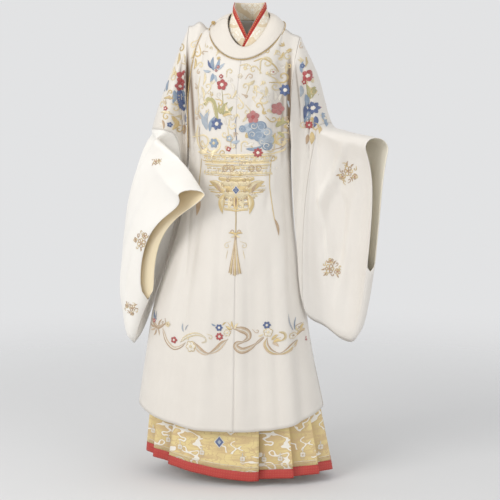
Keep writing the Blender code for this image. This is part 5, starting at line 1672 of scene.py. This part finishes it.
# border and pendant work below the chest, the pendant alike on both sides of the middle
border = {
    "left": -0.094, "right": 0.116, "middle": 0.010, "rows": (-0.345, -0.371, -0.400),
    "insets": (0.0, 0.008, 0.012),
    "scallop": 0.0212 / 1.5, "margin": 0.008, "sag": 0.003, "rings": (-0.022, -0.002, 0.054, 0.074),
    "ringZ": -0.3865,
    "row": 0.0058, "wave": 0.0012, "fillings": 110, "fillingZ": (-0.500, -0.352), "plateTaper": 0.45,
    # z and half width down the pendant
    "outline": inMetres([
        (-347, 98), (-372, 92), (-396, 82), (-404, 54), (-428, 52), (-438, 80), (-452, 82), (-470, 60),
        (-484, 46), (-512, 34),
    ]),
    "plates": inMetres([
        # half length, z, half width, thread, rise
        (52, -418, 7.5, "gold", 0), (44, -430, 7, "paleGold", 0.5), (54, -446, 9, "gold", 0.3),
        (38, -462, 8, "paleGold", 0.5),
    ]),
    "wings": inMetres([
        # x from the middle, z, length, turn, half width, thread, bend, rise
        (34, -456, 56, 34, 11.5, "gold", 0.10, 0.8), (36, -448, 44, 34, 5, "paleGold", 0.10, 1.3),
        (46, -456, 30, 60, 5, "tan", 0.10, 1.2), (36, -462, 54, 276, 9.5, "gold", 0.08, 0.8),
        (36, -468, 36, 276, 4, "paleGold", 0.08, 1.4), (17, -468, 38, 278, 7, "paleGold", -0.08, 0.6),
        (40, -506, 14, 270, 1.8, "gold", 0.0, 0.6),
    ], (3, 6)),
    "wingCurls": inMetres([
        # x from the middle, z, radius
        (22, -421, 7), (38, -436, 6), (24, -452, 6), (30, -474, 5.5), (14, -478, 4.5),
    ]),
    "tips": inMetres([
        # z, length, half width, thread, rise
        (-466, 46, 8, "gold", 0.9), (-470, 30, 3, "brown", 1.6),
    ]),
    "lozengeZ": -0.450,
    "lozenge": inMetres([
        # half height, half width, thread, rise
        (13.5, 11.5, "cream", 1.4), (11.5, 9.5, "navy", 1.8),
    ]),
    "bowZ": -0.578,
    "bow": inMetres([
        # z, length, turn, half width, thread, bend
        (-578, 21, 8, 3.4, "gold", 0.12), (-580, 16, -28, 2.8, "paleGold", -0.1),
    ], (2, 5)),
    "hanging": [
        # points, then the drop's x, z, length, turn and half width
        (inMetres([(-98, -360), (-104, -410), (-108, -470)]), (-0.108, -0.470, 0.058, 266, 0.0075)),
        (inMetres([(108, -360), (104, -430), (112, -500), (119, -540)]), (0.119, -0.536, 0.050, 284, 0.0036)),
    ],
}
tassel = {"strands": 15, "top": -0.592, "knee": -0.630, "low": -0.698, "rise": 0.006, "uneven": 0.003,
          "halfTop": 0.002, "halfKnee": 0.0075, "halfLow": 0.019, "lean": 0.001, "width": 0.00125,
          "threads": ("tan", "paleGold", "gold", "tan", "cream")}


def stitchRows(work, at):
    # couched rows, with curls, leaves, dots and rings between them
    left, right, middle = border["left"], border["right"], border["middle"]
    for z, inset in zip(border["rows"], border["insets"]):
        for drop, width, thread in ((0.0, 0.0026, "paleGold"), (0.0062, 0.0012, "gold")):
            stitchLine(work, [(at(left + inset), z - drop), (at(middle), z - drop - border["sag"]),
                              (at(right - inset), z - drop)], width, thread, 0.2)
    x = left + border["margin"]
    count = 0
    while x < right - border["margin"] / 2:
        isOdd = count % 2 == 1
        stitchCurl(work, at(x), -0.3585, 0.0088, 200, "paleGold" if isOdd else "gold", 0.0019, 1.1,
                   1 if isOdd else -1)
        stitchLeaf(work, at(x + 0.008), -0.352, 0.014, 250, 0.0026, "cream" if isOdd else "paleGold", 0.2,
                   0.0003)
        stitchLeaf(work, at(x), -0.405, 0.013, 80 + 20 * (count % 3), 0.0030, "paleGold", 0.2, 0.0003)
        stitchDisc(work, at(x + 0.010), border["ringZ"], 0.0030, "cream" if count % 3 else "paleGold", 0.0003)
        x += border["scallop"]
        count += 1
    for x in border["rings"]:
        stitchRing(work, at(x), border["ringZ"], 0.0088, 0.0014, "tan", 0.85, 0.0005)
        stitchRing(work, at(x), border["ringZ"], 0.0052, 0.0009, "gold", 0.8, 0.0005)


def stitchPendantGround(work, at):
    # rows of couched gold that follow the outline, widest at the top band and at the wings
    outline, middle = border["outline"], border["middle"]
    z = outline[0][0]
    row = 0
    while z > outline[-1][0]:
        half = float(readTable(outline, z)[1])
        wave = border["wave"] * (1 if row % 2 else -1)
        stitchLine(work, [(at(middle - half), z + 0.002), (at(middle - half * 0.5), z - wave),
                          (at(middle), z + wave),
                          (at(middle + half * 0.5), z - wave), (at(middle + half), z + 0.002)],
                   border["row"] * (0.34 if row % 3 else 0.42), ("paleGold", "gold", "cream")[row % 3], 0.15)
        z -= border["row"]
        row += 1
    for i in range(border["fillings"]):
        z = random.uniform(*border["fillingZ"])
        half = float(readTable(outline, z)[1]) * 0.92
        stitchCurl(work, at(middle + random.uniform(-half, half)), z, random.uniform(0.0035, 0.0062),
                   random.uniform(0, 360), ("tan", "cream", "paleTan", "gold")[i % 4], 0.0008, 1.1,
                   1 - 2 * (i % 2), 0.0, 0.0006)


def stitchPendant(work):
    # layered plates, pointed wings and a blue lozenge
    middle, lozengeZ = border["middle"], border["lozengeZ"]
    for half, z, width, thread, rise in border["plates"]:
        stitchLine(work, [(middle - half, z + 0.002), (middle, z - 0.002), (middle + half, z + 0.002)], width,
                   thread, border["plateTaper"], rise)
    for sign in (-1, 1):
        for x, z, length, turn, width, thread, bend, rise in border["wings"]:
            stitchLeaf(work, middle + sign * x, z, length, turnFor(turn, sign), width, thread, bend * sign,
                       rise)
        for x, z, radius in border["wingCurls"]:
            stitchCurl(work, middle + sign * x, z, radius, 90, "tan", 0.0009, 1.1, sign, 0.0, 0.0019)
    for z, length, width, thread, rise in border["tips"]:
        stitchLeaf(work, middle, z, length, 270, width, thread, 0.0, rise)
    for height, width, thread, rise in border["lozenge"]:
        stitchDiamond(work, middle, lozengeZ, height, width, thread, rise)
    for drop in (-0.003, 0.003):
        stitchLine(work, [(middle - 0.005, lozengeZ + drop + 0.002), (middle, lozengeZ + drop),
                          (middle + 0.005, lozengeZ + drop + 0.001)], 0.0011, "paleSky", 0.6, 0.0026)


def stitchTassel(work):
    # cord, bow and tassel
    middle, bowZ = border["middle"], border["bowZ"]
    stitchLine(work, [(middle, -0.505), (middle + 0.0006, -0.540), (middle, bowZ)], 0.0013, "gold", 0.1,
               0.0004)
    for sign in (-1, 1):
        for z, length, turn, width, thread, bend in border["bow"]:
            stitchLeaf(work, middle, z, length, turnFor(turn, sign), width, thread, bend * sign, 0.0005)
        stitchRing(work, middle + sign * 0.010, -0.571, 0.0046, 0.0011, "tan", 1.0, 0.0004)
    stitchDisc(work, middle, bowZ - 0.0005, 0.0040, "gold", 0.0012)
    stitchLine(work, [(middle, -0.583), (middle, -0.596)], 0.0030, "tan", 0.1, 0.0007)
    for i in range(tassel["strands"]):
        spread = (i - 7) / 7
        low = tassel["low"] + tassel["rise"] * abs(spread)
        low += random.uniform(-tassel["uneven"], tassel["uneven"])
        stitchLine(work, [(middle + spread * tassel["halfTop"], tassel["top"]),
                          (middle + spread * tassel["halfKnee"], tassel["knee"]),
                          (middle + tassel["lean"] + spread * tassel["halfLow"], low)], tassel["width"],
                   tassel["threads"][i % 5], 0.1, 0.0003 * (i % 2))
    for sign in (-1, 1):
        stitchCurl(work, middle + sign * 0.024, -0.612, 0.0090, 90, "paleGold", 0.0010, 1.2, sign, 0.012)
        stitchLine(work, [(middle + sign * 0.022, -0.625), (middle + sign * 0.027, -0.650)], 0.0008,
                   "paleGold")


def stitchBorder(work, flip):
    def at(x):
        return 2 * border["middle"] - x if flip else x

    stitchRows(work, at)
    stitchPendantGround(work, at)
    stitchPendant(work)
    stitchTassel(work)
    # two hanging lines, one each side, with long drops
    for points, (x, z, length, turn, width) in border["hanging"]:
        stitchLine(work, [(at(a), b) for a, b in points], 0.0012, "gold", 0.1)
        stitchLeaf(work, at(x), z, length, 180 - turn if flip else turn, width, "tan", 0.05, 0.0003)


# knee band: ribbons that wind between small flowers
kneeBand = readLayout({
    "middle": -0.015, "tail": 0.010,
    "ribbons": [
        # points, half width, strands, turns
        ([(-216, -866), (-202, -902), (-180, -922), (-157, -917), (-139, -902)], 5.5, ("tan", "cream",
         "paleTan"), 0.8),
        ([(-110, -897), (-94, -916), (-68, -928), (-42, -916), (-24, -898), (-7, -884)], 8.5, ("paleTan",
         "cream", "paleTan", "tan"), 1.9),
        ([(4, -852), (28, -855), (47, -865), (51, -881), (36, -892), (19, -896), (17, -908), (36, -918),
         (62, -907), (94, -880)], 9.5, ("tan", "paleTan", "cream", "paleTan", "tan"), 2.2),
        ([(104, -882), (100, -903), (116, -924), (142, -930), (167, -918), (185, -896)], 8.5, ("paleTan",
         "gold", "cream", "tan"), 1.6),
        ([(-157, -903), (-136, -885), (-104, -873), (-77, -879), (-72, -891), (-85, -897)], 6, ("paleGold",
         "cream", "paleGold"), 1.1),
        ([(136, -866), (152, -870), (155, -884), (142, -893)], 4, ("gold", "paleGold"), 0.8),
        ([(-262, -846), (-240, -866), (-222, -862), (-206, -850)], 6, ("tan", "paleTan"), 0.9),
        ([(180, -884), (196, -868), (214, -876), (222, -900)], 5, ("tan", "gold", "paleTan"), 1.0),
    ],
    "flowers": [
        # x, z, radius, petals, heart, count, turn
        (-177, -898, 10.5, "red", "cream", 5, 0), (-120, -911, 15, "cream", "paleGold", 6, 10),
        (-34, -851, 10.8, "navy", "cream", 6, 0), (-33, -877, 11.8, "red", "cream", 7, 20),
        (-10, -866, 9.5, "cream", "paleGold", 6, 0), (102, -845, 11.2, "navy", "cream", 6, 0),
        (106, -866, 12, "cream", "paleGold", 5, 15), (213, -896, 10, "red", "cream", 5, 0),
        (-198, -853, 8.5, "paleGold", "tan", 5, 0), (-250, -850, 6.2, "red", "cream", 5, 0),
        (174, -880, 8.5, "cream", "tan", 5, 0),
    ],
    "leaves": [
        # x, z, length, turn, half width, thread, bend
        (-244, -866, 26, 170, 3, "tan", 0.15), (-243, -870, 24, 205, 2.8, "paleTan", 0.1),
        (-240, -874, 22, 245, 2.6, "tan", 0.1), (-236, -868, 24, 290, 2.8, "paleTan", 0.1),
        (-232, -862, 24, 60, 2.6, "tan", 0.1), (-246, -856, 36, 98, 2.6, "sky", 0.1),
        (-250, -850, 30, 74, 2.2, "ash", -0.1), (-240, -846, 26, 118, 2.2, "navy", 0.1),
        (-147, -872, 26, 96, 2.2, "paleSky", 0.1), (-140, -866, 20, 60, 2, "ash", 0.1),
        (4, -856, 22, 150, 3.4, "gold", 0.1), (8, -850, 20, 105, 3.2, "gold", 0.1),
        (12, -854, 20, 60, 3, "paleGold", 0.1), (2, -860, 18, 200, 2.8, "paleTan", 0.1),
        (120, -896, 26, 8, 5, "gold", 0.15), (118, -898, 22, 330, 4.4, "paleTan", 0.1),
        (116, -890, 24, 40, 4, "gold", 0.1), (174, -866, 52, 104, 1.6, "ash", 0.05),
        (178, -864, 36, 88, 1.6, "sky", 0.05), (192, -866, 22, 62, 3.4, "gold", 0.1),
        (198, -868, 22, 28, 3.2, "paleTan", 0.1), (188, -870, 18, 120, 2.8, "paleGold", 0.1),
        (-44, -846, 14, 150, 2.4, "sky", 0.1), (-24, -844, 14, 40, 2.4, "gold", 0.1),
        (92, -872, 16, 200, 2.4, "paleGold", 0.1), (-128, -894, 16, 110, 2.2, "paleGold", 0.1),
    ],
    "curls": [
        # x, z, radius, turn, thread, half width, turns, hand
        (-214, -850, 8.5, 30, "tan", 1.4, 1.1, 1), (-60, -880, 7, 90, "paleGold", 1.2, 1.1, 1),
        (74, -862, 7, 200, "paleTan", 1.2, 1.0, -1), (186, -858, 7.5, 90, "tan", 1.3, 1.1, -1),
        (-6, -848, 6, 60, "gold", 1.2, 1.0, 1), (130, -878, 7, 300, "gold", 1.3, 1.0, 1),
    ],
})


def stitchKneeBand(work, flip):
    sign = -1 if flip else 1

    def at(x):
        return 2 * kneeBand["middle"] - x if flip else x

    for points, width, strands, turns in kneeBand["ribbons"]:
        stitchBand(work, [(at(x), z) for x, z in points], width, strands, turns)
    stitchCurls(work, [(*row, kneeBand["tail"]) for row in kneeBand["curls"]], at, sign)
    stitchLeaves(work, kneeBand["leaves"], at, sign, 0.0005)
    stitchFlowers(work, kneeBand["flowers"], at, sign)


# upper sleeves: clusters of flowers, leaves and gold curls above the elbow seam
sleeveWork = {
    1: readLayout({
        "flowers": [
            (207, -118, 17, "red", "cream", 5, 0), (196, -136, 8, "red", "cream", 5, 30),
            (221, -212, 19, "navy", "cream", 7, 0), (250, -205, 13, "red", "cream", 5, 0),
            (208, -262, 13, "red", "cream", 8, 0), (192, -90, 7, "navy", "sky", 5, 0),
        ],
        "leaves": [
            (214, -186, 46, 62, 8.5, "olive", 0.12), (208, -180, 38, 98, 7, "olive", -0.1),
            (234, -176, 34, 78, 6, "olive", -0.15), (200, -172, 40, 268, 8, "sky", 0.1),
            (208, -220, 38, 246, 8.5, "sky", 0.1), (244, -226, 44, 288, 8.5, "sky", 0.1),
            (252, -190, 40, 300, 7, "sky", -0.1), (190, -110, 34, 84, 4.5, "sky", 0.1),
            (186, -146, 34, 268, 5.5, "paleSky", 0.1), (228, -236, 34, 262, 7, "navy", 0.1),
            (216, -282, 38, 268, 7.5, "gold", 0.05), (204, -290, 30, 262, 5.5, "tan", 0.05),
            (236, -262, 26, 280, 4.5, "gold", 0.1), (200, -60, 34, 270, 3.4, "gold", 0.1),
            (212, -74, 30, 280, 3, "paleGold", 0.1), (196, -205, 40, 266, 6.5, "navy", 0.08),
        ],
        "curls": [
            (200, -40, 11, 90, "gold", 2, 1.1, 1, 20), (222, -100, 9, 20, "paleGold", 1.8, 1.1, 1, 14),
            (236, -142, 8, 20, "tan", 1.6, 1.1, -1, 14), (226, -268, 12, 90, "gold", 2.2, 1.1, 1, 12),
            (192, -264, 10, 90, "paleGold", 2, 1.1, -1, 12),
            (250, -246, 9, 90, "paleGold", 1.8, 1.1, 1, 12),
        ]}),
    -1: readLayout({
        "flowers": [
            (-163, -122, 21.5, "red", "cream", 5, 0), (-175, -148, 14, "red", "cream", 5, 30),
            (-150, -150, 13, "navy", "sky", 6, 0), (-148, -172, 11, "red", "cream", 5, 10),
            (-166, -206, 16, "navy", "cream", 7, 0), (-218, -214, 7, "red", "cream", 5, 0),
            (-206, -262, 8, "navy", "sky", 5, 0),
        ],
        "leaves": [
            (-178, -156, 54, 268, 9.5, "navy", 0.06), (-168, -160, 58, 276, 8, "sky", 0.06),
            (-190, -160, 40, 262, 6, "sky", 0.08), (-160, -226, 44, 272, 8, "navy", 0.05),
            (-152, -206, 40, 270, 6, "sky", 0.05), (-216, -162, 32, 80, 5.5, "sky", 0.1),
            (-224, -164, 26, 104, 4.5, "sky", 0.1), (-226, -184, 40, 355, 3.5, "gold", 0.1),
            (-236, -226, 42, 350, 3.5, "paleGold", 0.1), (-200, -236, 34, 290, 5.5, "gold", 0.1),
            (-184, -250, 32, 240, 6, "gold", 0.1), (-176, -50, 36, 262, 4.2, "gold", 0.1),
            (-160, -54, 34, 280, 3.6, "paleGold", 0.1), (-190, -90, 34, 250, 4, "paleGold", 0.1),
            (-170, -262, 30, 268, 6, "tan", 0.05), (-228, -248, 28, 280, 4, "tan", 0.1),
        ],
        "curls": [
            (-172, -36, 12, 90, "gold", 2.2, 1.1, 1, 20), (-196, -122, 10, 20, "paleGold", 2, 1.1, 1, 16),
            (-232, -204, 11, 20, "paleGold", 2, 1.1, -1, 18),
            (-190, -214, 10, 90, "paleGold", 2, 1.1, 1, 12), (-216, -238, 11, 90, "gold", 2.2, 1.1, -1, 12),
            (-182, -276, 12, 90, "gold", 2.4, 1.1, 1, 10), (-204, -180, 8, 0, "tan", 1.6, 1.1, 1, 10),
        ]}),
}


# left, right, low and high of the areas filled on each upper sleeve
sleeveFilling = {
    "count": 60, "leafRoom": 0.008,
    1: [(0.185, 0.225, -0.20, -0.03), (0.200, 0.250, -0.28, -0.16)],
    -1: [(-0.200, -0.155, -0.20, -0.02), (-0.250, -0.165, -0.28, -0.16)],
}


def stitchSleeve(work, side):
    layout = sleeveWork[side]
    taken = [(x, z, radius) for x, z, radius, *_ in layout["flowers"] + layout["curls"]]
    taken += [(x, z, sleeveFilling["leafRoom"]) for x, z, *_ in layout["leaves"]]
    stitchFilling(work, sleeveFilling[side], sleeveFilling["count"], taken, 0.004)
    stitchLayout(work, layout)


# sprays on the lower sleeves: x, z, size and turn
sleeveSprays = [(0.326, -0.402, 0.066, 0), (0.276, -0.690, 0.062, 120), (-0.238, -0.350, 0.060, 60),
                (-0.272, -0.604, 0.062, 200), (-0.317, -0.812, 0.046, 300)]
skirtWork = {
    "flowers": inMetres([
        (-262, -1196), (-205, -1212), (-160, -1222), (-90, -1232), (34, -1244), (94, -1250), (142, -1246),
        (205, -1240), (252, -1226),
    ]),
    # height above the red band and thread of each fine line
    "lines": ((0.010, "paleTan"), (0.015, "cream")), "linesFrom": -0.276, "lineStep": 0.020, "lineSteps": 28,
    "lozengeX": -0.036, "lozengeZ": -1.196,
    "lozenge": inMetres([
        # half height, half width, thread, rise
        (19, 16.5, "cream", 0.4), (15.5, 13, "navy", 0.9), (7, 5.5, "paleSky", 1.4),
    ]),
}


def stitchSkirt(work):
    # small flowers on stems over two short bars each, fine lines along the band, and a blue lozenge
    for x, z in skirtWork["flowers"]:
        stitchFlower(work, x, z, 0.0085, "cream", "paleTan", 4, 45)
        stitchLeaf(work, x, z + 0.007, 0.012, 90, 0.0018, "cream", 0.0, 0.0003)
        for half, drop in ((0.008, 0.012), (0.005, 0.017)):
            stitchLine(work, [(x - half, z - drop), (x + half, z - drop)], 0.0008, "paleTan")
    for step in range(skirtWork["lineSteps"]):
        x = skirtWork["linesFrom"] + skirtWork["lineStep"] * step
        for above, thread in skirtWork["lines"]:
            ends = (x, x + skirtWork["lineStep"])
            stitchLine(work, [(a, skirtHem(a) + skirt["band"] + above) for a in ends], 0.0007, thread, 0.0)
    for height, width, thread, rise in skirtWork["lozenge"]:
        stitchDiamond(work, skirtWork["lozengeX"], skirtWork["lozengeZ"], height, width, thread, rise)


def buildEmbroidery():
    work = startStitches(frontTargets, -1)
    stitchChest(work, False)
    stitchBorder(work, False)
    finishStitches(work, "embroideryChest")
    work = startStitches(frontTargets, -1)
    stitchKneeBand(work, False)
    finishStitches(work, "embroideryKneeFront")
    work = startStitches(backTargets, 1)
    stitchChest(work, True)
    stitchBorder(work, True)
    stitchKneeBand(work, True)
    finishStitches(work, "embroideryBack")
    for facing, word in ((-1, "Front"), (1, "Back")):
        work = startStitches(armTargets, facing)
        for side in (1, -1):
            stitchSleeve(work, side)
        for x, z, size, turn in sleeveSprays:
            stitchSprig(work, x, z, size, turn, "tan", "gold", "rose")
        finishStitches(work, "embroiderySleeves" + word)
    for facing, word in ((-1, "Front"), (1, "Back")):
        work = startStitches(skirtTargets, facing)
        stitchSkirt(work)
        finishStitches(work, "embroiderySkirt" + word)


buildEmbroidery()
print("embroidery is stitched")
